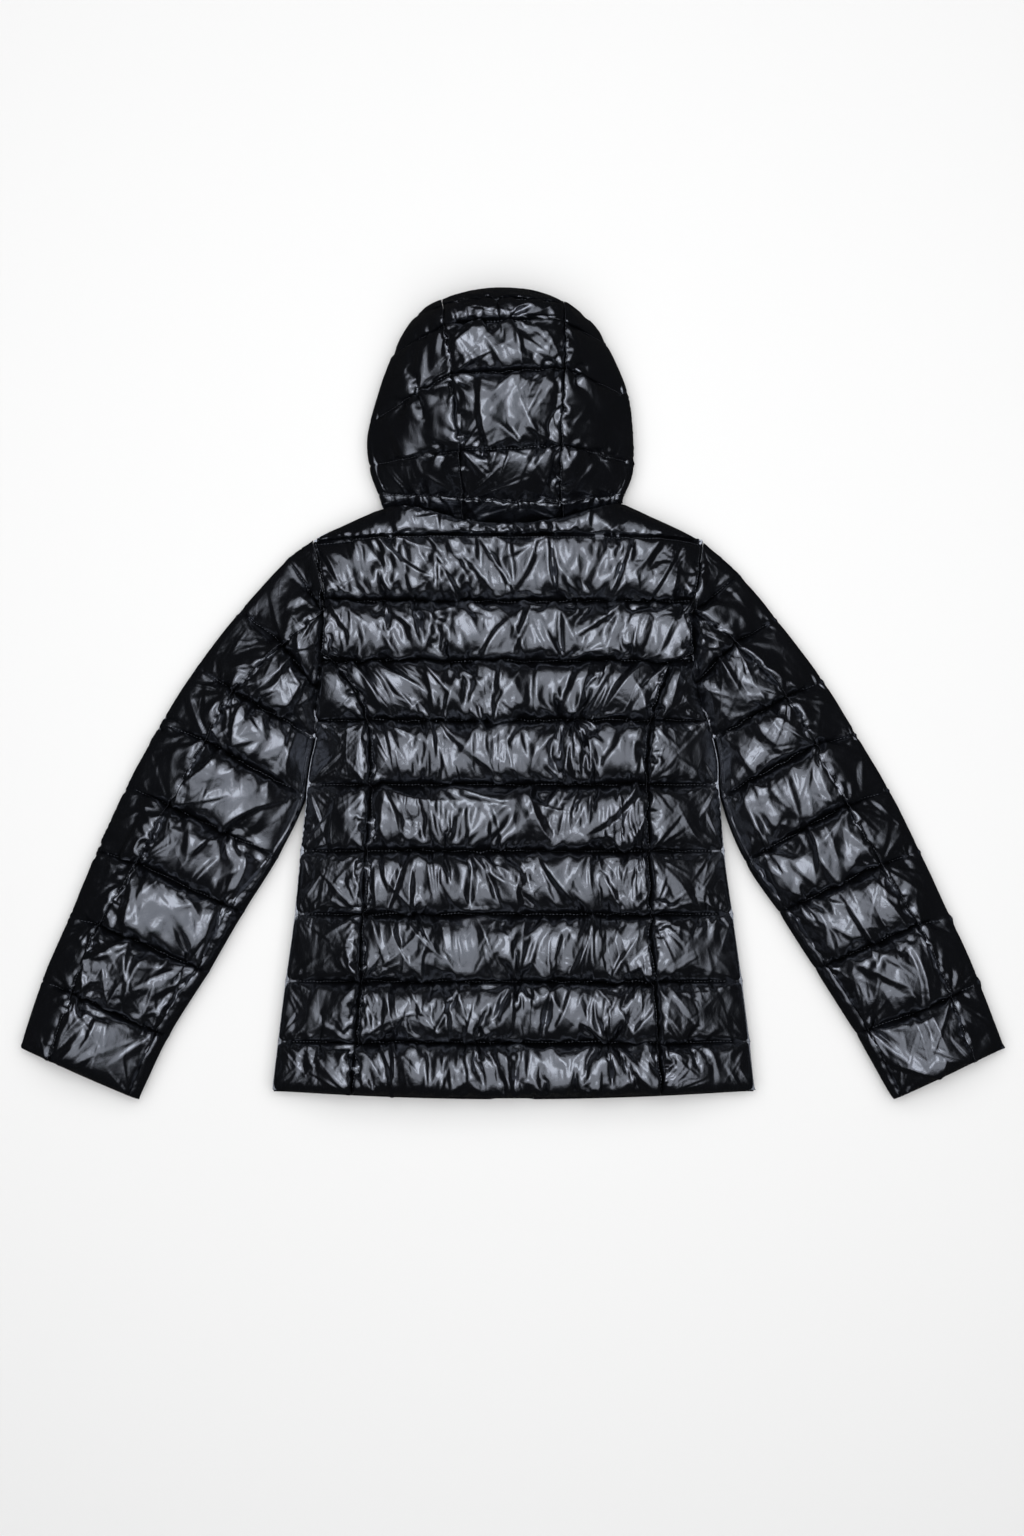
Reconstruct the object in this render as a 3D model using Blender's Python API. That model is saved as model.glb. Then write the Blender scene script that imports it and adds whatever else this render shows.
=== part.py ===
"""A hooded puffer jacket laid flat on its front, made as the real one is cut and sewn.

Units in the tables are millimetres. X runs across the jacket (the wearer's left is -X), Y from hem to hood,
Z up from the surface it lies on. The back, sleeves and hood face up, the fronts face down.
Each sewn panel is one padded wall: quilting stands up on its outer side, its inner side is plain.
"""

import math

import bmesh
import bpy
import numpy as np

MM = 0.001

# Driving sizes
LAYER_LEVEL = 20.0  # height at which the upper and the lower layer of the jacket meet
LAYER_GAP = 0.3  # half of the slit left between the two layers
SEAM_GAP = 0.15  # half of the gap between two sewn panels
CURVED_SEAM_GAP = 0.8  # the whole gap where two panels meet along a curve
LEAST_WALL = 1.0  # wall thickness left at an edge, from the middle of the slit
STITCHED = 9.0  # wall thickness along a line of quilting
LOFT = 24.0  # how far a channel stands above its quilting lines
EDGE_ROUND = 60.0  # width over which the upper layer rolls down to the outline
UNDER_ROUND = 30.0  # the same for the lower layer, which rests flat
UNDER_GROOVE = 8.0  # how far a quilting line of the lower layer lifts off the surface
SEAM_PINCH = 20.0  # width over which a lengthwise seam draws the padding down
SLEEVE_FOLD = 17.0  # width of the fold of a sleeve's wall at its outer edge
SLEEVE_CLEARANCE = 0.8  # between a sleeve and the body's side under the arm
LEAST_LIP = 4.0  # least width of the top sleeve turned up over the inner edge
ARMHOLE_LIP = 1.0  # the same along the armhole, where it stays under the under sleeve
PLACKET_HALF = 22.0
PLACKET_EDGE = 5.0  # height of the placket's rounded long edges
HOOD_RISE = 44.0  # how far the hood's dome stands above the back
HOOD_HOLLOW = 42.0  # height of the empty space inside it
HOOD_ROUND = 88.0  # width over which the dome rolls down to its outline
HOOD_WALL = 18.0  # wall thickness at that outline
NECK_CHANNEL_LOFT = 0.35  # share of the loft in the hood's lowest channel, which is drawn nearly flat
SHELL_COLOUR, SHELL_ROUGHNESS = (0.012, 0.013, 0.016), 0.28  # thin coated nylon with a wet gloss

# The body's edge: the armhole down to the underarm, then the side down to the hem.
UNDERARM_Y = -46.0
BODY_EDGE = [  # y, left x, right x
    (163, -211, 202),
    (143, -206, 199),
    (121, -202, 195),
    (99, -199, 191),
    (79, -199, 190),
    (58, -200, 189),
    (35.5, -202, 190),
    (15, -205, 193),
    (-6, -207, 198),
    (-27, -207, 206),
    (-46, -208, 212),
    (-69, -213, 217),
    (-95, -217, 218),
    (-125, -219, 221),
    (-165, -224, 224),
    (-232, -230, 233),
    (-303, -240, 243),
    (-367, -248, 251),
    (-419, -254, 256.5),
]
# The seams between the centre back and the side backs, from the armhole to the hem.
PRINCESS_SEAM = [  # y, left x, right x
    (41, -197, 185.5),
    (35.5, -191, 173),
    (21, -179, 163),
    (5, -168.5, 157),
    (-11, -160, 151.5),
    (-27, -154, 147),
    (-59, -150.5, 143),
    (-95, -149.5, 142),
    (-165, -155, 144),
    (-232, -158, 146),
    (-303, -161, 149.5),
    (-367, -165, 155),
    (-421, -170, 158),
]
# Shoulder and neck line, from the left shoulder point round the neck to the right one.
SHOULDER_LINE = [  # x, y
    (-211, 164),
    (-200, 170),
    (-180, 179),
    (-158, 189),
    (-137, 197),
    (-119, 198.5),
    (-97.5, 196),
    (-76, 190),
    (-44.5, 182.5),
    (0, 180),
    (45.5, 185),
    (77, 193),
    (99, 199),
    (115.5, 202),
    (130, 196.5),
    (146, 189),
    (168.5, 179),
    (187, 170),
    (202, 161.5),
]
SIDE_BACK_TOP, SIDE_BACK_ROW = 42.0, 1.9  # where the side backs begin, at the armhole
SIDE_BACK_TIP = 1.2  # their width there
QUILTING_Y = [168, 99, 35.5, -27, -95, -165, -232, -303, -367]  # the yoke seam, then each line of quilting
SHOULDER_HALF = 205.0  # half of the width across the shoulders
YOKE_SET_IN, LEAST_YOKE = 4.0, 1.5  # the yoke's ends, in from the shoulder points, and its depth there
YOKE_SEAM_DROP = 5.5  # how far the ends of the yoke seam fall below its middle
BACK_HEM = (-418.5, -425.0)  # y at the sides, y at the middle
FRONT_HEM = (-420.5, -430.0)

# Sleeves, a row for each line of quilting: outer edge x, y; back seam x, y; inner edge x, y; and how far
# the top sleeve turns up over the inner edge to meet the under sleeve.
SHOULDER_ROW, SEAM_ROW, UNDERARM_ROW, PARTING_ROW, CUFF_ROW = 0, 1, 3, 4, 9
FIRST_SLEEVE_ROW = 0.04  # where the sleeve has width enough to begin
SLEEVE_LEFT = [
    (-211, 164, -211, 164, -211, 164, 0),
    (-238.5, 144.5, -198.8, 87.5, -198.8, 87.5, 0),
    (-288, 89.5, -242, 51.5, -204.5, 7, 0),
    (-335, 30, -293.5, 2.5, -208, -46, 0),
    (-373, -29, -323, -49, -218.5, -109, 2),
    (-409, -96, -361.5, -117, -249, -173, 6),
    (-441, -165, -395.5, -178.5, -285, -230.5, 14),
    (-470.5, -236, -435.5, -243, -322, -294, 12),
    (-499, -304, -464, -315, -364.5, -362, 13),
    (-522, -374, -490, -387.5, -396.5, -429, 10),
]
SLEEVE_RIGHT = [
    (202, 161.5, 202, 161.5, 202, 161.5, 0),
    (240.5, 128, 190.2, 87.5, 190.2, 87.5, 0),
    (280, 80, 233, 54.5, 196, 12, 0),
    (329.5, 14.5, 288, -2.5, 212, -46, 0),
    (364.5, -42, 318, -53.5, 220.5, -109, 2),
    (399.5, -101, 351, -117, 247, -176.5, 5),
    (432.5, -166, 387, -180, 283, -230.5, 8),
    (466.5, -237, 427, -243, 321, -290, 11),
    (496, -304, 462, -319.5, 364.5, -359, 12),
    (522, -374, 486.5, -389.5, 404, -429, 8),
]

# Hood, a row for each line of quilting from the neck to the crown: outline x, y; centre panel's seam x, y;
# and the front edge x, y, which lies underneath.
NECK_ROW, CROWN_ROW, FOREHEAD_ROW = 0, 6, 4
FIRST_HOOD_ROW, LAST_SIDE_ROW = 0.2, 5.9  # between these the rows are far enough apart for their walls
CROWN_CORNER_GAP, FRONT_EDGE_GAP = 1.0, 0.6  # added to the seam gap at the crown and underneath
CROWN_FOLD = 0.9  # rows from the crown to where the wall's inner side turns
CENTRE_SEAM, FRONT_EDGE = 1, 2
UPTURN_SHARES = np.array([(0, 0, 1), (0, 0.5, 1)])  # points of the upturned edge, at the armhole and below it
HOOD_LEFT = [
    (-137, 197, -51, 183, -26, 180),
    (-142, 212.5, -51, 206, -36, 205),
    (-151.5, 243, -55, 253, -40, 250),
    (-151.5, 289, -63.5, 332, -45, 325),
    (-126, 361, -70, 383, -36.5, 377),
    (-100.5, 402, -73, 405.5, -70, 404),
    (-75, 418, -75, 418, -75, 418),
]
HOOD_RIGHT = [
    (115.5, 202, 51, 186, 4, 180),
    (118.5, 211.5, 51, 202, 14, 204),
    (129, 245, 49, 259, 19, 250),
    (123, 316, 54, 337.5, 23.5, 325),
    (98.5, 372.5, 54, 386.5, 15.5, 377),
    (78.5, 398, 54, 408.5, 50.5, 405),
    (54, 416, 54, 416, 54, 416),
]
CENTRE_BOW = [0, -1.5, -1, 0, 2, 4, 13]  # how far each line bows towards the crown across the centre panel

# Where the surface of a channel is sampled, from one quilting line to the next.
UPPER_STEPS = (0, 0.1, 0.28, 0.72, 0.9)
LOWER_STEPS = (0, 0.2, 0.45, 0.8)


def through(table, station_column, value_columns, at):
    """A smooth curve through the rows of a table, read at one or more stations."""
    rows = np.array(sorted(table), float) if station_column is not None else np.array(table, float)
    stations = rows[:, station_column] if station_column is not None else np.arange(len(rows), dtype=float)
    values = rows[:, value_columns]
    slopes = np.gradient(values, stations, axis=0)
    at = np.clip(np.asarray(at, float), stations[0], stations[-1])
    i = np.clip(np.searchsorted(stations, at, side="right") - 1, 0, len(stations) - 2)
    step = stations[i + 1] - stations[i]
    t = (at - stations[i]) / step
    if values.ndim > 1:
        t, step = t[..., None], step[..., None]
    start, end = values[i], values[i + 1]
    leave, arrive = slopes[i] * step, slopes[i + 1] * step
    return (
        (2 * t**3 - 3 * t**2 + 1) * start
        + (t**3 - 2 * t**2 + t) * leave
        + (3 * t**2 - 2 * t**3) * end
        + (t**3 - t**2) * arrive
    )


def body_edge(y, side):
    return through(BODY_EDGE, 0, 1 if side < 0 else 2, y)


def princess_seam(y, side):
    return through(PRINCESS_SEAM, 0, 1 if side < 0 else 2, y)


def shoulder_line(x):
    return through(SHOULDER_LINE, 0, 1, x)


def across(a, b, share):
    return a + (b - a) * share


def sleeve_curves(side, rows):
    """Outer edge, back seam, inner edge and upturned width of a sleeve at these rows."""
    table = SLEEVE_LEFT if side < 0 else SLEEVE_RIGHT
    rows = np.asarray(rows, float)
    found = through(table, None, slice(0, 7), rows)
    outer, inner, lip = found[..., 0:2], found[..., 4:6], found[..., 6]
    # The seam runs down the armhole before it leaves it, so it is a curve of its own from there.
    below = through(table[SEAM_ROW:], None, slice(2, 4), rows - SEAM_ROW)
    gap = np.where(rows <= UNDERARM_ROW, CURVED_SEAM_GAP, SLEEVE_CLEARANCE)
    edge = body_edge(inner[..., 1], side) + side * gap
    inner = np.stack([np.where(rows <= PARTING_ROW, edge, inner[..., 0]), inner[..., 1]], -1)
    seam = np.where((rows <= SEAM_ROW)[..., None], inner, below)
    lip = np.where(rows <= UNDERARM_ROW, ARMHOLE_LIP, np.maximum(lip, LEAST_LIP))
    return outer, seam, inner, lip


def hood_curves(side, rows):
    """Outline, centre seam and front edge of one side of the hood at these rows."""
    found = through(HOOD_LEFT if side < 0 else HOOD_RIGHT, None, slice(0, 6), rows)
    return found[..., 0:2], found[..., 2:4], found[..., 4:6]


def crown_arc(share):
    """The top of the hood's outline, from the left centre seam to the right one."""
    left, right = (hood_curves(side, [CROWN_ROW])[1][0] for side in (-1, 1))
    share = np.asarray(share, float)[..., None]
    arc = across(left, right, share)
    return arc + np.concatenate([share * 0, CENTRE_BOW[-1] * 4 * share * (1 - share)], -1)


def outlines():
    """The jacket's outline without the hood, and the hood's, as rows of points."""
    jacket = []
    for side in (-1, 1):
        rows = np.linspace(SHOULDER_ROW, CUFF_ROW, 55)
        outer, _, inner, _ = sleeve_curves(side, rows)
        down = np.linspace(UNDERARM_Y, BODY_EDGE[-1][0], 24)
        neck_x = HOOD_LEFT[0][0] if side < 0 else HOOD_RIGHT[0][0]
        shoulder_x = np.linspace(BODY_EDGE[0][1 if side < 0 else 2], neck_x, 10)
        jacket += [
            outer,
            inner[rows >= UNDERARM_ROW],
            np.stack([body_edge(down, side), down], -1),
            np.stack([shoulder_x, shoulder_line(shoulder_x)], -1),
        ]
    rows = np.linspace(NECK_ROW, CROWN_ROW, 30)
    hood = [hood_curves(-1, rows)[0], crown_arc(np.linspace(0, 1, 10)), hood_curves(1, rows)[0]]
    return jacket, hood


def distance_to(lines, points):
    """Distance in plan from each point to the nearest of these lines."""
    points = np.asarray(points, float)
    nearest = np.full(points.shape[:-1], 1e9)
    for line in lines:
        for a, b in zip(line[:-1], line[1:]):
            run = b - a
            along = np.clip(((points - a) @ run) / max(run @ run, 1e-9), 0, 1)
            nearest = np.minimum(nearest, np.linalg.norm(points - a - along[..., None] * run, axis=-1))
    return nearest


JACKET_OUTLINE, HOOD_OUTLINE = outlines()


def rolled(distance, width, power=2.2):
    """0 at an edge, rising steeply at first, to 1 at this distance from it."""
    inside = np.clip(np.asarray(distance) / width, 0, 1)
    return (1 - (1 - inside) ** power) ** (1 / power)


def puffed(step):
    """The outline of a padded channel from one line of quilting, 0, to the next, 1."""
    return np.maximum(1 - np.abs(2 * np.asarray(step, float) - 1) ** 2.6, 0) ** (1 / 1.8)


def pinched(distance):
    """How much of its loft a channel keeps this far from a lengthwise seam."""
    return 0.2 + 0.8 * rolled(distance, SEAM_PINCH, 2)


def upper(points, step, from_seam=1e3):
    """The upper layer's outer surface over these plan points."""
    raised = STITCHED + LOFT * puffed(step) * pinched(from_seam)
    height = rolled(distance_to(JACKET_OUTLINE, points), EDGE_ROUND) * raised
    return standing(points, LAYER_LEVEL + np.maximum(height, LEAST_WALL))


def lower(points, step, lines=JACKET_OUTLINE):
    """The lower layer's outer surface, which rests flat on z = 0 between its quilting lines."""
    lifted = UNDER_GROOVE * (1 - np.minimum(1, 1.25 * puffed(step)))
    depth = rolled(distance_to(lines, points), UNDER_ROUND) * (LAYER_LEVEL - lifted)
    return standing(points, LAYER_LEVEL - np.maximum(depth, LEAST_WALL))


def hood_rise(row):
    """How much of the dome's height has been reached at this row."""
    t = np.clip(np.asarray(row, float) / 2.2, 0, 1)
    return t * t * (3 - 2 * t)


def hood_upper(points, row, from_seam=1e3):
    """The hood's outer surface, a quilted dome."""
    row = np.asarray(row, float)
    loft = np.where(row < 1, NECK_CHANNEL_LOFT, 1) * LOFT
    raised = STITCHED + HOOD_RISE * hood_rise(row) + loft * puffed(row % 1) * pinched(from_seam)
    height = rolled(distance_to(HOOD_OUTLINE, points), HOOD_ROUND) * raised
    return standing(points, LAYER_LEVEL + np.maximum(height, LEAST_WALL))


def hood_ceiling(points, row):
    """The smooth inner side of that dome."""
    inside = distance_to(HOOD_OUTLINE, points) - HOOD_WALL
    height = rolled(inside, HOOD_ROUND - HOOD_WALL) * HOOD_HOLLOW * hood_rise(row)
    return standing(points, LAYER_LEVEL + LAYER_GAP + height)


def standing(points, heights):
    heights = np.broadcast_to(heights, np.shape(points)[:-1])
    return np.concatenate([points, heights[..., None]], -1)


def level(points, offset):
    return standing(points, LAYER_LEVEL + offset)


def seam_distance(points, *columns):
    """Distance of each point in a row to the row's ends that are lengthwise seams."""
    found = np.full(points.shape[:-1], 1e3)
    for column in columns:
        found = np.minimum(found, np.linalg.norm(points - points[:, [column]], axis=-1))
    return found


def channel_rows(first, last, steps):
    """Row numbers from one quilting line to another, several in each channel."""
    return np.array([k + s for k in range(first, last) for s in steps] + [last], float)


def eased(count, towards_start=True, towards_end=True):
    """Shares from 0 to 1, closer together near the chosen ends."""
    t = np.linspace(0, 1, count + 1)
    if towards_start and towards_end:
        return (1 - np.cos(math.pi * t)) / 2
    if towards_start:
        return 1 - np.cos(math.pi * t / 2)
    return np.sin(math.pi * t / 2) if towards_end else t


def shell_fabric(panel_name):
    """The shell fabric of one panel."""
    material = bpy.data.materials.new(f"{panel_name}_nylon")
    material.use_nodes = True
    shader = material.node_tree.nodes["Principled BSDF"]
    shader.inputs["Base Color"].default_value = (*SHELL_COLOUR, 1)
    shader.inputs["Roughness"].default_value = SHELL_ROUGHNESS
    shader.inputs["Metallic"].default_value = 0
    return material


def sewn_panel(name, faces_of):
    """One closed wall, from a function that adds its points and faces to an empty mesh."""
    bm = bmesh.new()
    for face in faces_of(bm):
        bm.faces.new(face)
    bmesh.ops.recalc_face_normals(bm, faces=bm.faces)
    if bm.calc_volume(signed=True) < 0:
        bmesh.ops.reverse_faces(bm, faces=bm.faces)
    mesh = bpy.data.meshes.new(name)
    bm.to_mesh(mesh)
    bm.free()
    mesh.materials.append(shell_fabric(name))
    mesh.shade_smooth()
    mesh.set_sharp_from_angle(angle=math.radians(50))
    panel = bpy.data.objects.new(name, mesh)
    bpy.context.scene.collection.objects.link(panel)
    return panel


def points_in(bm, rows):
    return [[bm.verts.new(np.array(point) * MM) for point in row] for row in rows]


def strip(one, other):
    """Faces between two rows of points: quads, or one face where their counts differ."""
    if len(one) != len(other):
        return [(*one, *reversed(other))]
    return [(one[i], one[i + 1], other[i + 1], other[i]) for i in range(len(one) - 1)]


def around(grid):
    """The points round the edge of a grid."""
    return [*grid[0], *(row[-1] for row in grid[1:-1]), *grid[-1][::-1], *(row[0] for row in grid[-2:0:-1])]


def flat_backed(name, outer, inside_level):
    """A panel with these rows of outer points and a plain, level inner side."""

    def faces_of(bm):
        rows = points_in(bm, outer)
        rim = around(rows)
        inner = [bm.verts.new((*vert.co[:2], inside_level * MM)) for vert in rim]
        faces = [face for one, other in zip(rows[:-1], rows[1:]) for face in strip(one, other)]
        return [*faces, *strip([*rim, rim[0]], [*inner, inner[0]]), tuple(inner)]

    return sewn_panel(name, faces_of)


def wall(name, outer, inner):
    """A panel between its outer and its inner rows of points, which run the same way round."""

    def faces_of(bm):
        out, back = points_in(bm, outer), points_in(bm, inner)
        faces = [face for side in (out, back) for pair in zip(side[:-1], side[1:]) for face in strip(*pair)]
        for end in (0, -1):
            faces += strip([row[end] for row in out], [row[end] for row in back])
            faces += strip(out[end], back[end])
        return faces

    return sewn_panel(name, faces_of)


def hem_y(x, hem):
    """The hem's curve, lowest at the middle."""
    side, middle = hem
    return middle + (side - middle) * (np.asarray(x) / BODY_EDGE[-1][2]) ** 2


def body_rows(rows, hem, left_of, right_of, shares):
    """Plan points of a body panel. Row 0 is its top seam, the last row its hem."""
    last = len(QUILTING_Y)
    lines = QUILTING_Y + [hem[0]]
    points = []
    for row in rows:
        k = min(int(row), last - 1)
        y = across(lines[k], lines[k + 1], row - k)
        drop = max(1 - row, 0) * YOKE_SEAM_DROP
        x = across(left_of(y - drop), right_of(y - drop), shares)
        y = y - drop * np.abs(x / SHOULDER_HALF) ** 4
        if k == last - 1:
            y = y + (row - k) * (hem_y(x, hem) - hem[0])
        points.append(np.stack([x, y], -1))
    return np.array(points)


def side_seam(y, side):
    """The seam between centre back and side back. Above its top it runs just inside the armhole."""
    tip = body_edge(y, side) - side * SIDE_BACK_TIP
    return np.where(np.asarray(y) > PRINCESS_SEAM[0][0], tip, princess_seam(y, side))


def back_panels():
    rows = channel_rows(0, len(QUILTING_Y), UPPER_STEPS)

    def centre_edge(side):
        def edge(y):
            return side_seam(y, side) - side * SEAM_GAP if y < SIDE_BACK_TOP else body_edge(y, side)

        return edge

    plan = body_rows(rows, BACK_HEM, centre_edge(-1), centre_edge(1), eased(10))
    step = (rows % 1)[:, None]
    heights = upper(plan, step, seam_distance(plan, 0, -1))
    flat_backed("back_centre", heights, LAYER_LEVEL + LAYER_GAP)

    side_rows = rows[rows >= SIDE_BACK_ROW]
    step = (side_rows % 1)[:, None]
    for side, name in ((-1, "back_side_left"), (1, "back_side_right")):
        plan = body_rows(
            side_rows,
            BACK_HEM,
            lambda y: body_edge(y, side),
            lambda y: side_seam(y, side) + side * SEAM_GAP,
            eased(6, True, False),
        )
        heights = upper(plan, step, seam_distance(plan, -1))
        flat_backed(name, heights, LAYER_LEVEL + LAYER_GAP)


def yoke():
    """The narrow panel between the yoke seam, the shoulders and the neck seam."""
    x = np.linspace(BODY_EDGE[0][1] + YOKE_SET_IN, BODY_EDGE[0][2] - YOKE_SET_IN, 31)
    seam = QUILTING_Y[0] - YOKE_SEAM_DROP * np.abs(x / SHOULDER_HALF) ** 4 + SEAM_GAP
    top = np.maximum(shoulder_line(x) - SEAM_GAP, seam + LEAST_YOKE)
    steps = np.array(list(UPPER_STEPS) + [1])
    plan = np.array([np.stack([x, across(seam, top, s)], -1) for s in steps])
    flat_backed("back_yoke", upper(plan, steps[:, None]), LAYER_LEVEL + LAYER_GAP)


def fronts():
    """The two fronts and the placket between them, lying underneath."""
    rows = channel_rows(0, len(QUILTING_Y), LOWER_STEPS)
    shoulder_steps = np.array(list(LOWER_STEPS) + [1])[::-1][:-1]
    for side, name in ((-1, "front_left"), (1, "front_right")):
        plan = body_rows(
            rows,
            FRONT_HEM,
            lambda y: body_edge(y, side),
            lambda y: side * (PLACKET_HALF + SEAM_GAP),
            eased(9, True, False),
        )
        x = plan[0, :, 0]
        top = np.maximum(shoulder_line(x) - CURVED_SEAM_GAP, plan[0, :, 1] + LEAST_YOKE)
        above = np.array([np.stack([x, across(plan[0, :, 1], top, s)], -1) for s in shoulder_steps])
        plan = np.concatenate([above, plan])
        step = np.concatenate([shoulder_steps, rows % 1])[:, None]
        flat_backed(name, lower(plan, step), LAYER_LEVEL - LAYER_GAP)
    x = np.linspace(-PLACKET_HALF, PLACKET_HALF, 5)
    ends = np.array([shoulder_line(x) - CURVED_SEAM_GAP, hem_y(x, FRONT_HEM)])
    shares = np.linspace(0, 1, 12)
    plan = np.array([np.stack([x, across(ends[0], ends[1], s)], -1) for s in shares])
    under = standing(plan, np.where(np.abs(x) < PLACKET_HALF, 0, PLACKET_EDGE))
    flat_backed("front_placket", under, LAYER_LEVEL - LAYER_GAP)


def lines_between(a, b, shares):
    """Plan points on the straight line from a to b, in each row."""
    return across(a[:, None], b[:, None], np.atleast_2d(shares)[..., None])


def upturned_edge(rows, outer, seam, inner, width):
    """Where the top sleeve, turned up over the inner edge, ends."""
    across_sleeve = np.where((rows <= UNDERARM_ROW)[:, None], outer, seam) - inner
    return inner + across_sleeve / np.linalg.norm(across_sleeve, axis=-1, keepdims=True) * width[:, None]


def top_sleeve(side, name):
    """The top sleeve, folded round the outer edge, and turned up over the inner edge below the underarm."""
    rows = channel_rows(SHOULDER_ROW, CUFF_ROW, UPPER_STEPS)
    rows[0] = FIRST_SLEEVE_ROW
    outer, seam, inner, lip = sleeve_curves(side, rows)
    joined = upturned_edge(rows, outer, seam, inner, lip)
    seam = seam + side * np.array([SEAM_GAP, 0])
    step = (rows % 1)[:, None]
    at_armhole = (rows <= UNDERARM_ROW)[:, None]

    on_top = lines_between(seam, outer, eased(6, False, True))
    settled = np.clip((rows - SEAM_ROW) / (UNDERARM_ROW - SEAM_ROW), 0, 1)[:, None]
    bend = across(across(outer, inner, 0.4), seam, settled)
    to_bend = lines_between(outer, bend, eased(3, True, False))
    to_inner = lines_between(bend, inner, eased(4, False, True))
    beneath = np.concatenate([to_bend, to_inner[:, 1:]], 1)
    bottom = lower(beneath, step)
    upturn = lines_between(inner, joined, np.where(at_armhole, UPTURN_SHARES[0], UPTURN_SHARES[1]))
    upturn = upper(upturn, step, seam_distance(upturn, -1))
    up_the_wall = across(bottom[:, -1:, 2], LAYER_LEVEL, np.array([0.5, 1, 1]))
    upturn[..., 2] = np.where(at_armhole, up_the_wall, upturn[..., 2])

    width = np.linalg.norm(seam - outer, axis=-1, keepdims=True)
    fold = across(outer, seam, np.minimum(SLEEVE_FOLD / width, 0.5))
    upper_slit = [level(seam, LAYER_GAP), level(fold, LAYER_GAP)]
    lower_slit = [level(fold, -LAYER_GAP), level(joined, -LAYER_GAP)]
    outside = np.concatenate([upper(on_top, step, seam_distance(on_top, 0)), bottom, upturn], 1)
    wall(name, outside, np.stack(upper_slit + lower_slit, 1))


def under_sleeve(side, name):
    """The under sleeve, which shows between the back seam and the upturned edge of the top sleeve."""
    rows = channel_rows(SEAM_ROW, CUFF_ROW, UPPER_STEPS)
    rows[0] += FIRST_SLEEVE_ROW
    outer, seam, inner, lip = sleeve_curves(side, rows)
    inward = np.where(rows < UNDERARM_ROW, 0, lip + 2 * SEAM_GAP)
    joined = upturned_edge(rows, outer, seam, inner, inward)
    plan = lines_between(seam - side * np.array([SEAM_GAP, 0]), joined, eased(6))
    heights = upper(plan, (rows % 1)[:, None], seam_distance(plan, 0, -1))
    flat_backed(name, heights, LAYER_LEVEL + LAYER_GAP)


def sleeves():
    for side, word in ((-1, "left"), (1, "right")):
        top_sleeve(side, f"sleeve_top_{word}")
        under_sleeve(side, f"sleeve_under_{word}")


def hood_lines(a, b, shares, rows, bow=0.0):
    """Plan points across a hood panel in each row. The first row follows the neck seam."""
    lines = lines_between(a, b, shares)
    above_neck = shoulder_line(lines[0, :, 0]) + CURVED_SEAM_GAP - lines[0, :, 1]
    lines[..., 1] += np.reshape(bow, (-1, 1)) * 4 * shares * (1 - shares)
    lines[..., 1] += np.clip(1 - rows, 0, 1)[:, None] * above_neck
    return lines


def hood_side(side, name, rows):
    """A side of the hood, folded round the outline to its front edge."""
    outline, seam, front = hood_curves(side, rows)
    seam = seam + side * np.array([SEAM_GAP, 0])
    front = front + side * np.array([SEAM_GAP, 0])
    width = np.linalg.norm(outline - seam, axis=-1, keepdims=True)
    inset = across(outline, seam, np.minimum(HOOD_WALL / width, 0.5))
    to_edge, from_edge = eased(6, False, True), eased(5, True, False)
    on_top = hood_lines(seam, outline, to_edge, rows)
    beneath = hood_lines(outline, front, from_edge, rows)
    ceiling = hood_lines(seam, inset, to_edge, rows)
    floor = hood_lines(inset, front, from_edge, rows)
    row = rows[:, None]
    outside = [hood_upper(on_top, row, seam_distance(on_top, 0)), lower(beneath, row % 1, HOOD_OUTLINE)]
    inside = [hood_ceiling(ceiling, row), level(floor, -LAYER_GAP)]
    wall(name, np.concatenate(outside, 1), np.concatenate(inside, 1))


def centre_lines(column, rows, shares):
    """Plan points across the hood's centre panel, between its two seams or its two lower edges."""
    gap = SEAM_GAP + CROWN_CORNER_GAP * np.clip(rows - CROWN_ROW + 1, 0, 1)
    if column == FRONT_EDGE:
        gap += FRONT_EDGE_GAP
    left, right = (hood_curves(side, rows)[column] - side * np.stack([gap, gap * 0], -1) for side in (-1, 1))
    bows = np.array([(bow,) for bow in CENTRE_BOW])
    bow = through(bows, None, slice(0, 1), rows)[:, 0]
    if column == FRONT_EDGE:
        bow = np.interp(rows, [FOREHEAD_ROW, CROWN_ROW], [0, CENTRE_BOW[-1]])
    return hood_lines(left, right, shares, rows, bow)


def hood_centre(rows):
    """The centre panel, from the neck over the crown and under it to the forehead."""
    shares = np.linspace(0, 1, 7)
    under_rows = rows[rows >= FOREHEAD_ROW][::-1]
    on_top = centre_lines(CENTRE_SEAM, rows, shares)
    beneath = centre_lines(FRONT_EDGE, under_rows, shares)
    inner_end = CROWN_ROW - CROWN_FOLD
    inner_rows = np.interp(rows, [0, FOREHEAD_ROW, CROWN_ROW], [0, FOREHEAD_ROW, inner_end])
    floor_rows = np.minimum(under_rows, inner_end)
    ceiling = centre_lines(CENTRE_SEAM, inner_rows, shares)
    floor = centre_lines(FRONT_EDGE, floor_rows, shares)
    from_seam = seam_distance(on_top, 0, -1)
    under_step = (under_rows % 1)[:, None]
    outside = [hood_upper(on_top, rows[:, None], from_seam), lower(beneath, under_step, HOOD_OUTLINE)]
    inside = [hood_ceiling(ceiling, inner_rows[:, None]), level(floor, -LAYER_GAP)]
    wall("hood_centre", np.concatenate(outside), np.concatenate(inside))


def hood():
    rows = channel_rows(NECK_ROW, CROWN_ROW, UPPER_STEPS)
    rows = rows[(rows == NECK_ROW) | (rows > FIRST_HOOD_ROW)]
    side_rows = rows[rows <= LAST_SIDE_ROW]
    hood_side(-1, "hood_side_left", side_rows)
    hood_side(1, "hood_side_right", side_rows)
    hood_centre(rows)


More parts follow.
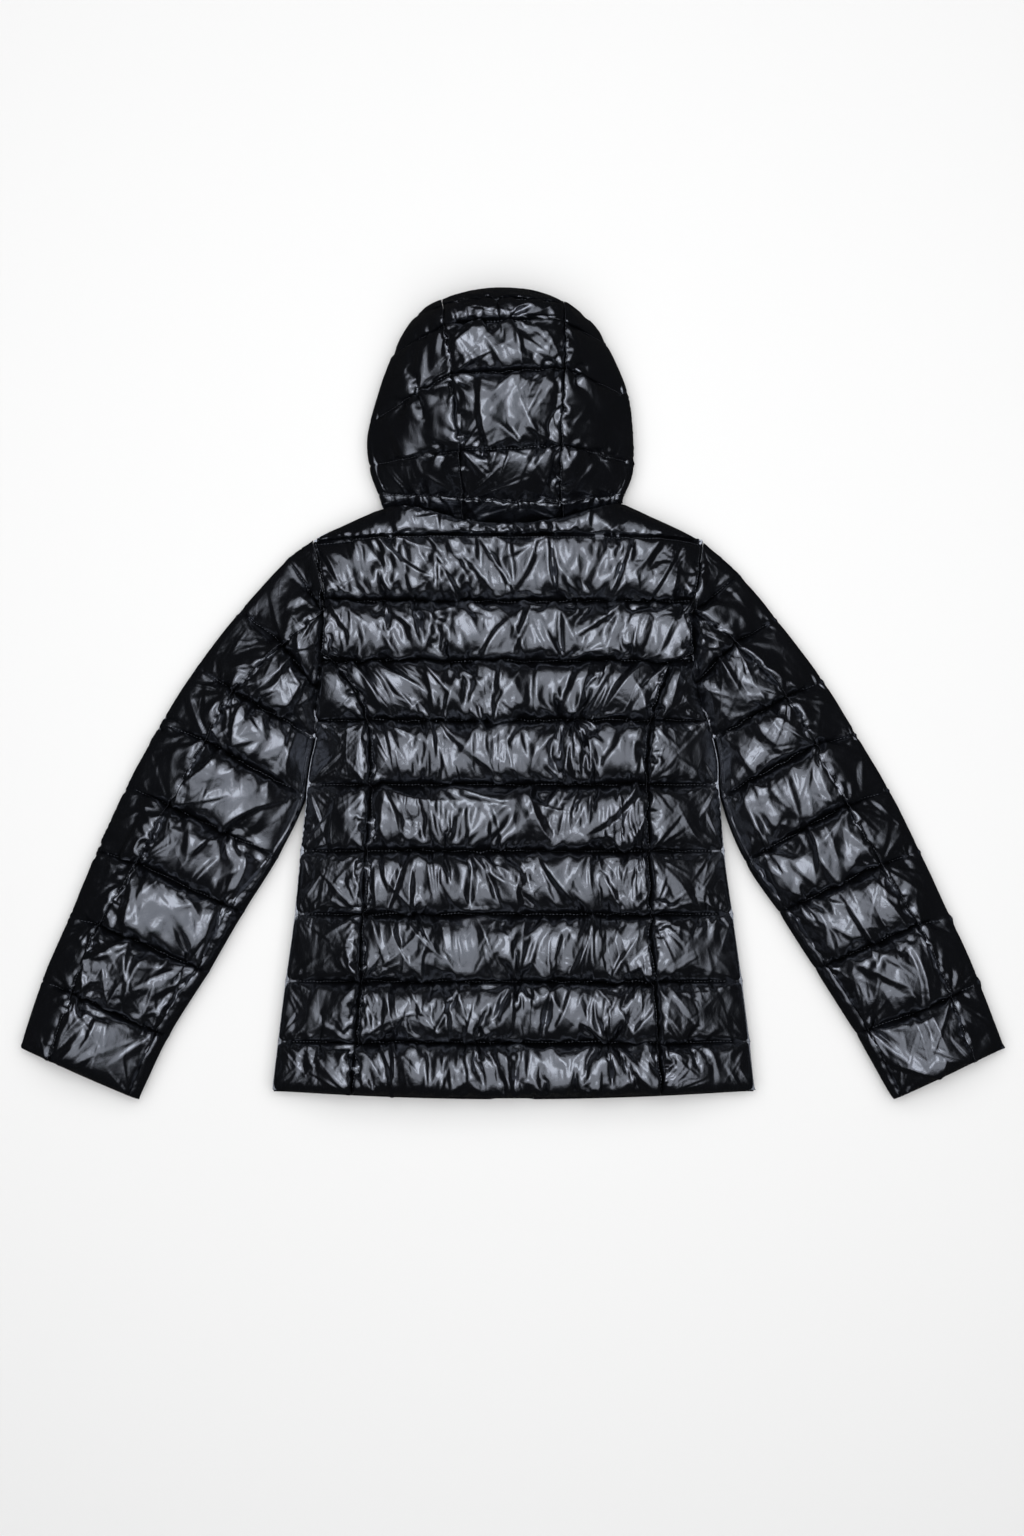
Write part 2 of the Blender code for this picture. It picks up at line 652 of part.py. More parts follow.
def main():
    for stale in list(bpy.data.objects):
        bpy.data.objects.remove(stale)
    back_panels()
    yoke()
    fronts()
    sleeves()
    hood()


main()
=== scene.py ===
"""The visible model of a hooded puffer jacket.

It lies flat on its front on a pale floor and is seen from straight above.
"""

import math

import bmesh
import bpy
import numpy as np
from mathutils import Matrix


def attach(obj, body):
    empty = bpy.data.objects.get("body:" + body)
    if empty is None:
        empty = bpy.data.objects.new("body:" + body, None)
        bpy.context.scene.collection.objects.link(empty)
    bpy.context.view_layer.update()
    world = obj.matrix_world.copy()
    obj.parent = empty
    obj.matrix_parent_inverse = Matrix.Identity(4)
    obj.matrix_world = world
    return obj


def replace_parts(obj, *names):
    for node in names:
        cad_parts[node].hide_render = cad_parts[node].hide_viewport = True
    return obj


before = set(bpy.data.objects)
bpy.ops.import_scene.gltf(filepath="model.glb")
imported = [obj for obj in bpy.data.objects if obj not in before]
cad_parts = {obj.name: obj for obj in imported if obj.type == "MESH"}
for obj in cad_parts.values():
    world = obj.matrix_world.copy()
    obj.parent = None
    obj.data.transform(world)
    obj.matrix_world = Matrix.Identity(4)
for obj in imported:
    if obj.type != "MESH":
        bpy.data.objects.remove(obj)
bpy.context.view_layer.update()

MM = 0.001

# Sizes of the sewn panels in millimetres. X runs across the jacket, Y from hem to hood, Z up from the floor.
LAYER_LEVEL = 20.0  # height at which the upper and the lower layer of the jacket meet
LAYER_GAP = 0.3  # from there to the inner side of each layer
SEAM_GAP = 0.15  # from a seam to the panel on either side
CURVED_SEAM_GAP, SLEEVE_CLEARANCE = 0.8, 0.8
LEAST_WALL = 0.45

# The upper layer: its thickness at the quilting, what padding adds, and how it rounds off at the outline.
STITCHED, LOFT = 9.0, 24.0
QUILT_POWER = 4.2
SEAM_PINCH, PINCHED_LOFT = 7.0, 0.6  # width beside a lengthwise seam, and the loft kept at it
EDGE_ROUND, EDGE_POWER = 80.0, 1.55
FULL_ROUND, FULL_POWER = 45.0, 2.1  # the same where the padding is full
FULL_HALF, FULL_FADE = 195.0, 50.0  # half the width of the full part, and where it fades out
TURN_UNDER, TURN_UNDER_WIDTH, UPTURN_TURN = 4.0, 10.0, 0.6
YOKE_SEAM_SHALLOW, YOKE_LOFT, BESIDE_YOKE = 0.88, 0.14, 2.5  # the last one is steepness per row
SEAM_GROOVE = 2.8  # how much the yoke seam sinks in
SLEEVE_FALL, SIDE_FALL, HOOD_FALL = 0.75, 0.64, 0.42  # share of the height lost towards the outline
SIDE_FALL_POWER, SIDE_FALL_ROWS = 1.6, 0.7
ARMHOLE_SINK, ARMHOLE_SINK_WIDTH = 0.6, 34.0  # share of the height lost beside the armhole
ARMHOLE_SINK_POWER, ARMHOLE_SINK_ROWS = 1.6, 0.6

# The lower layer, and where the edges of the panels lie.
UNDER_ROUND, UNDER_GROOVE, UNDER_FLAT = 30.0, 8.0, 1.25
FRONT_SET_IN, SIDE_SET_OUT = 0.6, 0.5  # how far side edges lie inside and outside the body's edge
SLEEVE_FOLD = 17.0  # from the outer edge to the hollow inside the sleeve, at most
LEAST_LIP, ARMHOLE_LIP = 4.0, 1.0  # width of the upturned edge
PLACKET_HALF, PLACKET_EDGE, PLACKET_ROUND = 22.0, 5.0, 6.0
HEM_TUCK = 7.0

# The hood: a dome over a hollow, with a brim round its outline. Each curve gives rows, then shares at them.
HOOD_RISE, HOOD_RISE_ROWS = 44.0, 2.2
HOOD_POWER, HOOD_ROUND, HOOD_EDGE_ROUND = 1.7, 125.0, 50.0
HOOD_LOFT, HOOD_LOFT_CURVE = 0.6, ([0.8, 2.6, 5.0, 5.3], [0, 1, 1, 0.4])
HOOD_HOLLOW, HOOD_WALL, CEILING_ROUND = 36.0, 18.0, 70.0
NECK_SINK, NECK_SINK_ROWS = 6.0, 0.4
BRIM, BRIM_HALF, BRIM_CURVE = 12.0, 6.0, ([0.2, 0.8, 3.2, 4.4], [0, 1, 1, 0])

UNDERARM_Y = -46.0
BODY_EDGE = [  # y, left x, right x
    (163, -211, 202),
    (143, -206, 199),
    (121, -202, 195),
    (99, -199, 191),
    (79, -199, 190),
    (58, -200, 189),
    (35.5, -202, 190),
    (15, -205, 193),
    (-6, -207, 198),
    (-27, -207, 206),
    (-46, -208, 212),
    (-69, -213, 217),
    (-95, -217, 218),
    (-125, -219, 221),
    (-165, -224, 224),
    (-232, -230, 233),
    (-303, -240, 243),
    (-367, -248, 251),
    (-419, -254, 256.5),
]
PRINCESS_SEAM = [  # y, left x, right x
    (41, -197, 185.5),
    (35.5, -191, 173),
    (21, -179, 163),
    (5, -168.5, 157),
    (-11, -160, 151.5),
    (-27, -154, 147),
    (-59, -150.5, 143),
    (-95, -149.5, 142),
    (-165, -155, 144),
    (-232, -158, 146),
    (-303, -161, 149.5),
    (-367, -165, 155),
    (-421, -170, 158),
]
SHOULDER_LINE = [  # x, y
    (-211, 164),
    (-200, 170),
    (-180, 179),
    (-158, 189),
    (-137, 197),
    (-119, 198.5),
    (-97.5, 196),
    (-76, 190),
    (-44.5, 182.5),
    (0, 180),
    (45.5, 185),
    (77, 193),
    (99, 199),
    (115.5, 202),
    (130, 196.5),
    (146, 189),
    (168.5, 179),
    (187, 170),
    (202, 161.5),
]
SIDE_BACK_TOP, SIDE_BACK_ROW = 42.0, 1.9  # where the side back starts, as a y and as a row
SIDE_BACK_TIP = 1.2
QUILTING_Y = [168, 99, 35.5, -27, -95, -165, -232, -303, -367]
SHOULDER_HALF = 205.0
YOKE_SET_IN, LEAST_YOKE = 4.0, 1.5
YOKE_SEAM_DROP = 5.5  # how much lower the yoke seam lies at the shoulders
BACK_HEM, FRONT_HEM = (-418.5, -425.0), (-420.5, -430.0)  # y at the sides and in the middle

# Sleeves, a row for each line of quilting: outer edge x, y; back seam x, y; inner edge x, y; upturned width.
SHOULDER_ROW, SEAM_ROW, UNDERARM_ROW, PARTING_ROW, CUFF_ROW = 0, 1, 3, 4, 9
FIRST_SLEEVE_ROW = 0.01
FOLDED_FROM_ROW = 0.5  # from here on, fabric folded round the outline is turned under
SLEEVE_LEFT = [
    (-211, 164, -211, 164, -211, 164, 0),
    (-238.5, 144.5, -198.8, 87.5, -198.8, 87.5, 0),
    (-288, 89.5, -242, 51.5, -204.5, 7, 0),
    (-335, 30, -293.5, 2.5, -208, -46, 0),
    (-373, -29, -323, -49, -218.5, -109, 2),
    (-409, -96, -361.5, -117, -249, -173, 6),
    (-441, -165, -395.5, -178.5, -285, -230.5, 14),
    (-470.5, -236, -435.5, -243, -322, -294, 12),
    (-499, -304, -464, -315, -364.5, -362, 13),
    (-522, -374, -490, -387.5, -396.5, -429, 10),
]
SLEEVE_RIGHT = [
    (202, 161.5, 202, 161.5, 202, 161.5, 0),
    (240.5, 128, 190.2, 87.5, 190.2, 87.5, 0),
    (280, 80, 233, 54.5, 196, 12, 0),
    (329.5, 14.5, 288, -2.5, 212, -46, 0),
    (364.5, -42, 318, -53.5, 220.5, -109, 2),
    (399.5, -101, 351, -117, 247, -176.5, 5),
    (432.5, -166, 387, -180, 283, -230.5, 8),
    (466.5, -237, 427, -243, 321, -290, 11),
    (496, -304, 462, -319.5, 364.5, -359, 12),
    (522, -374, 486.5, -389.5, 404, -429, 8),
]

# Hood, a row for each line of quilting from neck to crown: outline x, y; centre seam x, y; front edge x, y.
NECK_ROW, CROWN_ROW, FOREHEAD_ROW = 0, 6, 4
LAST_SIDE_ROW = 5.9
CROWN_CORNER_GAP, FRONT_EDGE_GAP = 1.0, 0.6
CROWN_FOLD = 0.9  # the inner side turns back this many rows short of the crown
CREASED_CROWN = 0.15  # and the outer side creases this far beyond it
CENTRE_SEAM, FRONT_EDGE = 1, 2
HOOD_LEFT = [
    (-137, 197, -51, 183, -26, 180),
    (-142, 212.5, -51, 206, -36, 205),
    (-151.5, 243, -55, 253, -40, 250),
    (-151.5, 289, -63.5, 332, -45, 325),
    (-126, 361, -70, 383, -36.5, 377),
    (-100.5, 402, -73, 405.5, -70, 404),
    (-75, 418, -75, 418, -75, 418),
]
HOOD_RIGHT = [
    (115.5, 202, 51, 186, 4, 180),
    (118.5, 211.5, 51, 202, 14, 204),
    (129, 245, 49, 259, 19, 250),
    (123, 316, 54, 337.5, 23.5, 325),
    (98.5, 372.5, 54, 386.5, 15.5, 377),
    (78.5, 398, 54, 408.5, 50.5, 405),
    (54, 416, 54, 416, 54, 416),
]
CENTRE_BOW = [0, -1.5, -1, 0, 2, 4, 13]  # how far the centre panel bows up at each line of quilting

# How finely the cloth is modelled: rows of points to a channel, and fewer on the sides that lie underneath.
# FINE, and the steps across each creased panel, are multiples of 4, for the coarser passes.
FINE, PLAIN = 44, 8
CENTRE_STEPS, SIDE_STEPS, YOKE_STEPS, YOKE_ROWS = 236, 76, 240, 28
FRONT_STEPS, PLACKET_STEPS, PLACKET_ROWS = 48, 12, 89
TOP_STEPS, FOLDED_STEPS, UPTURN_STEPS, UNDER_STEPS = 36, 12, 8, 76
HOOD_STEPS, HOOD_UNDER_STEPS, CEILING_STEPS, HOOD_FLOOR_STEPS = 60, 16, 12, 6
HOOD_CENTRE_STEPS, HOOD_UNDER_ROWS, CEILING_ROWS = 80, 24, 59
SLEEVE_POINTS, SIDE_POINTS, SHORT_POINTS, HOOD_POINTS = 55, 24, 10, 30  # along the outline's parts
CENTRE_EASE, SIDE_EASE, FOLDED_EASE, UNDER_EASE = 0.25, 0.4, 0.6, 0.3  # how much they close up at the edges
CREASED_ROUND, CREASED_AT_ARMHOLE = 6, 4  # steps beyond the outline that still crease
# The columns on which stitches are laid.
SIDE_SEWN, TOP_SEWN, UNDER_SEWN, HOOD_SEWN = slice(18, None), slice(0, 26), slice(0, -12), slice(0, 50)


def through(table, station_column, value_columns, at):
    """A smooth curve through the rows of a table, read at one or more stations."""
    rows = np.array(sorted(table), float) if station_column is not None else np.array(table, float)
    stations = rows[:, station_column] if station_column is not None else np.arange(len(rows), dtype=float)
    values = rows[:, value_columns]
    slopes = np.gradient(values, stations, axis=0)
    at = np.clip(np.asarray(at, float), stations[0], stations[-1])
    i = np.clip(np.searchsorted(stations, at, side="right") - 1, 0, len(stations) - 2)
    step = stations[i + 1] - stations[i]
    t = (at - stations[i]) / step
    if values.ndim > 1:
        t, step = t[..., None], step[..., None]
    start, end = values[i], values[i + 1]
    leave, arrive = slopes[i] * step, slopes[i + 1] * step
    return (
        (2 * t**3 - 3 * t**2 + 1) * start
        + (t**3 - 2 * t**2 + t) * leave
        + (3 * t**2 - 2 * t**3) * end
        + (t**3 - t**2) * arrive
    )


def body_edge(y, side):
    return through(BODY_EDGE, 0, 1 if side < 0 else 2, y)


def princess_seam(y, side):
    return through(PRINCESS_SEAM, 0, 1 if side < 0 else 2, y)


def shoulder_line(x):
    return through(SHOULDER_LINE, 0, 1, x)


def across(a, b, share):
    return a + (b - a) * share


def sleeve_curves(side, rows):
    """Outer edge, back seam, inner edge and upturned width of a sleeve at these rows."""
    table = SLEEVE_LEFT if side < 0 else SLEEVE_RIGHT
    rows = np.asarray(rows, float)
    found = through(table, None, slice(0, 7), rows)
    outer, inner, lip = found[..., 0:2], found[..., 4:6], found[..., 6]
    below = through(table[SEAM_ROW:], None, slice(2, 4), rows - SEAM_ROW)
    gap = np.where(rows <= UNDERARM_ROW, CURVED_SEAM_GAP, SLEEVE_CLEARANCE)
    edge = body_edge(inner[..., 1], side) + side * gap
    inner = np.stack([np.where(rows <= PARTING_ROW, edge, inner[..., 0]), inner[..., 1]], -1)
    seam = np.where((rows <= SEAM_ROW)[..., None], inner, below)
    lip = np.where(rows <= UNDERARM_ROW, ARMHOLE_LIP, np.maximum(lip, LEAST_LIP))
    return outer, seam, inner, lip


def hood_curves(side, rows):
    """Outline, centre seam and front edge of one side of the hood at these rows."""
    found = through(HOOD_LEFT if side < 0 else HOOD_RIGHT, None, slice(0, 6), rows)
    return found[..., 0:2], found[..., 2:4], found[..., 4:6]


def crown_arc(share):
    """The top of the hood's outline, from the left centre seam to the right one."""
    left, right = (hood_curves(side, [CROWN_ROW])[1][0] for side in (-1, 1))
    share = np.asarray(share, float)[..., None]
    arc = across(left, right, share)
    return arc + np.concatenate([share * 0, CENTRE_BOW[-1] * 4 * share * (1 - share)], -1)


def outlines():
    """The jacket's outline without the hood, and the hood's, as rows of points."""
    jacket = []
    for side in (-1, 1):
        rows = np.linspace(SHOULDER_ROW, CUFF_ROW, SLEEVE_POINTS)
        outer, _, inner, _ = sleeve_curves(side, rows)
        down = np.linspace(UNDERARM_Y, BODY_EDGE[-1][0], SIDE_POINTS)
        neck_x = HOOD_LEFT[0][0] if side < 0 else HOOD_RIGHT[0][0]
        shoulder_x = np.linspace(BODY_EDGE[0][1 if side < 0 else 2], neck_x, SHORT_POINTS)
        jacket += [
            outer,
            inner[rows >= UNDERARM_ROW],
            np.stack([body_edge(down, side), down], -1),
            np.stack([shoulder_x, shoulder_line(shoulder_x)], -1),
        ]
    rows = np.linspace(NECK_ROW, CROWN_ROW, HOOD_POINTS)
    crown = crown_arc(np.linspace(0, 1, SHORT_POINTS))
    hood = [hood_curves(-1, rows)[0], crown, hood_curves(1, rows)[0]]
    return jacket, hood


def distance_to(lines, points):
    """Distance in plan from each point to the nearest of these lines."""
    points = np.asarray(points, np.float32)
    nearest = np.full(points.shape[:-1], 1e9, np.float32)
    for line in lines:
        for a, b in zip(line[:-1], line[1:]):
            run = (b - a).astype(np.float32)
            off = points - a.astype(np.float32)
            along = np.clip((off @ run) / max(float(run @ run), 1e-9), 0, 1)
            off -= along[..., None] * run
            nearest = np.minimum(nearest, np.einsum("...i,...i", off, off))
    return np.sqrt(nearest)


JACKET_OUTLINE, HOOD_OUTLINE = outlines()


def rolled(distance, width, power=2.2):
    """0 at an edge, rising steeply at first, to 1 at this distance from it."""
    inside = np.clip(np.asarray(distance) / width, 0, 1)
    return (1 - (1 - inside) ** power) ** (1 / power)


def puffed(step):
    """The outline of a padded channel from one line of quilting, 0, to the next, 1."""
    return np.maximum(1 - np.abs(2 * np.asarray(step, float) - 1) ** QUILT_POWER, 0) ** 0.5


def pinched(distance):
    """How much of its loft a channel keeps this far from a lengthwise seam."""
    return PINCHED_LOFT + (1 - PINCHED_LOFT) * rolled(distance, SEAM_PINCH, 2)


def sunk_at_armhole(points, rows, column):
    """How much height the panel keeps beside the armhole, which is at this column, down to the underarm."""
    beside = 1 - rolled(seam_distance(points, column), ARMHOLE_SINK_WIDTH, ARMHOLE_SINK_POWER)
    above = np.clip((UNDERARM_ROW - rows) / ARMHOLE_SINK_ROWS + 1, 0, 1)[:, None]
    return 1 - ARMHOLE_SINK * beside * above


def standing(points, heights):
    heights = np.broadcast_to(heights, np.shape(points)[:-1])
    return np.concatenate([points, heights[..., None]], -1)


def level(points, offset):
    return standing(points, LAYER_LEVEL + offset)


def upper(points, step, from_seam=1e3, shallow=0.0, full=0.0):
    """The upper layer's outer surface over these plan points.

    Where a line of quilting is shallow, less sinks in. Where the padding is full, it stands higher at the
    outline.
    """
    raised = STITCHED + LOFT * across(puffed(step), 1, shallow) * pinched(from_seam)
    width, power = across(EDGE_ROUND, FULL_ROUND, full), across(EDGE_POWER, FULL_POWER, full)
    height = rolled(distance_to(JACKET_OUTLINE, points), width, power) * raised
    return standing(points, LAYER_LEVEL + np.maximum(height, LEAST_WALL))


def lowered(surface, share, least=LEAST_WALL):
    """The same surface, which keeps this share of its height above the layers' level."""
    surface[..., 2] = LAYER_LEVEL + np.maximum((surface[..., 2] - LAYER_LEVEL) * share, least)
    return surface


def grooved(surface):
    """The same surface with its first row, the yoke seam, sunk in."""
    surface[0, :, 2] = np.maximum(surface[0, :, 2] - SEAM_GROOVE, LAYER_LEVEL + LEAST_WALL)
    return surface


def fullness(points, share=1.0):
    """How full the padding is beside the yoke seam, less towards the shoulder points."""
    return share * ((FULL_HALF - np.abs(points[..., 0])) / FULL_FADE).clip(0, 1)


def lower(points, step, lines=JACKET_OUTLINE):
    """The lower layer's outer surface, which rests flat on z = 0 between its quilting lines."""
    lifted = UNDER_GROOVE * (1 - np.minimum(1, UNDER_FLAT * puffed(step)))
    depth = rolled(distance_to(lines, points), UNDER_ROUND) * (LAYER_LEVEL - lifted)
    return standing(points, LAYER_LEVEL - np.maximum(depth, LEAST_WALL))


def turned_under(points, outline):
    """How far the fabric that is folded round the outline has turned down already on its upper side."""
    return TURN_UNDER * (1 - distance_to(outline, points) / TURN_UNDER_WIDTH).clip(0, 1) ** 2


def hood_rise(row):
    """How much of the dome's height has been reached at this row."""
    t = np.clip(np.asarray(row, float) / HOOD_RISE_ROWS, 0, 1)
    return t * t * (3 - 2 * t)


def hood_upper(points, row, from_seam=1e3):
    """The hood's outer surface, a quilted dome."""
    row = np.asarray(row, float)
    loft = np.interp(row, *HOOD_LOFT_CURVE)
    swell = loft * (1 - HOOD_LOFT + HOOD_LOFT * puffed(row % 1) * pinched(from_seam))
    sunk = NECK_SINK * (1 - row / NECK_SINK_ROWS).clip(0, 1)
    raised = STITCHED + HOOD_RISE * hood_rise(row) + LOFT * swell - sunk
    inside = distance_to(HOOD_OUTLINE, points)
    to_side = np.minimum(points[..., 0] - HOOD_LEFT[3][0], HOOD_RIGHT[2][0] - points[..., 0])
    to_side = np.maximum(to_side, inside)
    height = rolled(inside, HOOD_EDGE_ROUND) * rolled(to_side, HOOD_ROUND, HOOD_POWER) * raised
    brim = BRIM * np.sqrt((1 - (inside / BRIM_HALF - 1) ** 2).clip(0, 1))
    brim *= np.interp(row, *BRIM_CURVE)
    return standing(points, LAYER_LEVEL + np.maximum(np.maximum(height, brim), LEAST_WALL))


def hood_ceiling(points, row):
    """The smooth inner side of that dome."""
    inside = distance_to(HOOD_OUTLINE, points) - HOOD_WALL
    height = rolled(inside, CEILING_ROUND) * HOOD_HOLLOW * hood_rise(row)
    return standing(points, LAYER_LEVEL + LAYER_GAP + height)


def seam_distance(points, *columns):
    """Distance of each point in a row to the row's ends that are lengthwise seams."""
    found = np.full(points.shape[:-1], 1e3)
    for column in columns:
        found = np.minimum(found, np.linalg.norm(points - points[:, [column]], axis=-1))
    return found


def channel_rows(first, last, per_channel):
    """Row numbers from one quilting line to another, evenly spaced."""
    return np.linspace(first, last, round((last - first) * per_channel) + 1)


def eased(count, towards_start=True, towards_end=True, how_much=1.0):
    """Shares from 0 to 1, closer together near the chosen ends."""
    t = np.linspace(0, 1, count + 1)
    if towards_start and towards_end:
        curve = (1 - np.cos(math.pi * t)) / 2
    elif towards_start:
        curve = 1 - np.cos(math.pi * t / 2)
    else:
        curve = np.sin(math.pi * t / 2)
    return across(t, curve, how_much)


# How the shell fabric creases. Lengths are in millimetres, angles in degrees, slopes are height over width.

# Slack: how much longer the fabric is along a line of quilting, in lumps of this size, and across it.
GATHER, GATHER_MEAN, GATHER_SPREAD, GATHER_SIZE = 0.06, 0.4, 1.2, 28
GATHER_LEAN, GATHER_FADE, LEAST_GATHER = 0.3, 1.5, 0.15
LINE_SHIFT = (211.7, 97.3)
STEADY_MEAN, STEADY_SPREAD, STEADY_SIZE = 0.005, 0.02, 50

# Folds that start at the stitching: how far apart, how far they turn, how wide, how long, and how high.
FOLD_EVERY, FOLD_LEAN, FOLD_MOST_LEAN = 5.0, 30, 60
FOLD_STEEP, FOLD_SLOPE = (4.5, 11), (0.16, 0.42)
FOLD_WIDTH, FOLD_LENGTH = (5, 24), (0.3, 1.3)  # width in millimetres, and length as a share of the channel
FOLD_WIDTH_VARIES, FOLD_LENGTH_VARIES, FOLD_CURVE, GREAT_CURVE = (0.7, 1.3), (0.8, 1.1), 0.004, 0.003
FOLD_TAPER, FOLD_START, FOLD_RUN_IN = 0.7, 3, 1.6
FOLD_SUM = 0.35  # how much a fold adds where it crosses a higher one
GREAT_EVERY, GREAT_LEAN = 50.0, 15
GREAT_WIDTH, GREAT_LENGTH, GREAT_SLOPE, GREAT_STEEP = (16, 30), (0.9, 1.5), (0.14, 0.24), (5, 10)
PUCKER_EVERY, PUCKER_LEAN, PUCKER_REACH, PUCKER_STEEP = 6, 18, (7, 15), 2.2
PUCKER_WIDTH, PUCKER_SLOPE = (2.5, 5), (0.25, 0.5)
SEAM_EVERY, SEAM_LEAN, SEAM_REACH, SEAM_STEEP = 8, 25, (5, 13), 2.0
CORNER_TURN, CORNER_WIDTH, CORNER_LENGTH, CORNER_STEEP = (12, 70), (4, 9), (25, 60), 3.0
EDGE_FAN_SIZE, EDGE_FAN_INSET = 0.7, 16
PLEAT_DEPTH, PLEAT_HALF, PLEAT_LEAN, PLEAT_SPREAD = (2.5, 5), (4, 7), 0.35, 0.17
LEAST_ROWS = 6  # a channel with fewer has no folds

# Towards the outline the fabric is calm, over this width, beyond a smooth strip.
CALM, CRISP_CALM, SMOOTH_STRIP = 22.0, 12.0, 2
SCALLOP, SCALLOP_WIDTH, SCALLOP_LEVEL = 1.4, 20.0, 0.6
UNDERARM_HALF, UNDERARM_LOW, UNDERARM_FADE = 240, -112, 15  # x and y beyond which edges are scalloped

# How the seams themselves wander: lump size, seed and height along x, y and z, and the slip along the seam.
SEAM_WANDER = ((6, 33, 0.8), (8, 31, 0.5), (6, 32, 1.0))
SLIP, SLIP_SIZE = 5.0, 34
SEAM_COLUMNS, END_ROWS = 16, 8  # within these many points of a seam or an end it slips less
ROUGHNESS, ROUGHNESS_SIZE = 0.8, (9, 18)  # small bumps everywhere else
THREAD, STITCH, STITCH_EVERY, THREAD_SIDES = 0.35, 2.7, 3.6, 5

# The simulation. KINK is how far a crease has closed when it stops resisting.
KINK, BEND_PULL, SHEAR, SPEED_KEPT, ROUNDS = 0.015, 0.3, 0.4, 0.9, 4
COARSEST = 4
PASSES = (
    # every so many points, steps, share of the slack, extra slack, bend, flatten, pressure, hold, unevenness
    (COARSEST, 50, 0.5, 0.0, 0.10, 0.0, 0.10, 0.10, 0.0),
    (2, 60, 1.0, 0.0, 1.0, 0.3, 0.05, 0.03, 0.1),
    (1, 6, 0.0, 0.01, 0.1, 0.3, 0.015, 0.1, 0.0),
)
NOISE_ROWS, NOISE_COLUMNS, NOISE_START, NOISE_DEVIATION = 97, 89, 3000.5, 0.62


def lumps(points, size, seed):
    """Smooth noise over the plan, of about unit deviation, with lumps of this size in millimetres."""
    table = np.random.default_rng(seed).normal(size=(NOISE_ROWS, NOISE_COLUMNS)).astype(np.float32)
    at = np.asarray(points)[..., :2] / np.asarray(size, float) + NOISE_START
    cell = np.floor(at).astype(int)
    f = at - cell
    f = f * f * (3 - 2 * f)
    i, j = cell[..., 0], cell[..., 1]
    corners = [table[(i + a) % NOISE_ROWS, (j + b) % NOISE_COLUMNS] for a in (0, 1) for b in (0, 1)]
    low = across(corners[0], corners[1], f[..., 1])
    high = across(corners[2], corners[3], f[..., 1])
    return across(low, high, f[..., 0]) / NOISE_DEVIATION


def unit(vectors, least=1e-6):
    """The same directions, with length 1."""
    return vectors / np.maximum(np.linalg.norm(vectors, axis=-1, keepdims=True), least)


def normals(points):
    """The directions square to a grid of points."""
    return unit(np.cross(np.gradient(points, axis=1), np.gradient(points, axis=0)))


def from_ends(count):
    """How many steps each of a row of points is from the nearer end."""
    return np.minimum(np.arange(count), np.arange(count)[::-1])


def between(coarse):
    """The same grid with one more point between each two, on smooth curves."""
    for axis in (0, 1):
        a = np.moveaxis(coarse, axis, 0)
        padded = np.concatenate([2 * a[:1] - a[1:2], a, 2 * a[-1:] - a[-2:-1]])
        middle = (9 * (padded[1:-2] + padded[2:-1]) - padded[:-3] - padded[3:]) / 16
        fine = np.empty((2 * len(a) - 1, *a.shape[1:]), a.dtype)
        fine[::2], fine[1::2] = a, middle
        coarse = np.moveaxis(fine, 0, axis)
    return coarse


def ties(shape, down, right):
    """Index grids of the points that a tie joins, in two sets that share no point along it."""
    rows, columns = shape
    i = np.arange(0, rows - down)
    j = np.arange(0, columns - right) if right >= 0 else np.arange(-right, columns)
    if down:
        groups = [(i[(i // down) % 2 == k], j) for k in (0, 1)]
    else:
        groups = [(i, j[(j // right) % 2 == k]) for k in (0, 1)]
    for gi, gj in groups:
        if len(gi) and len(gj):
            yield np.ix_(gi, gj), np.ix_(gi + down, gj + right), np.ix_(gi, gj + right)


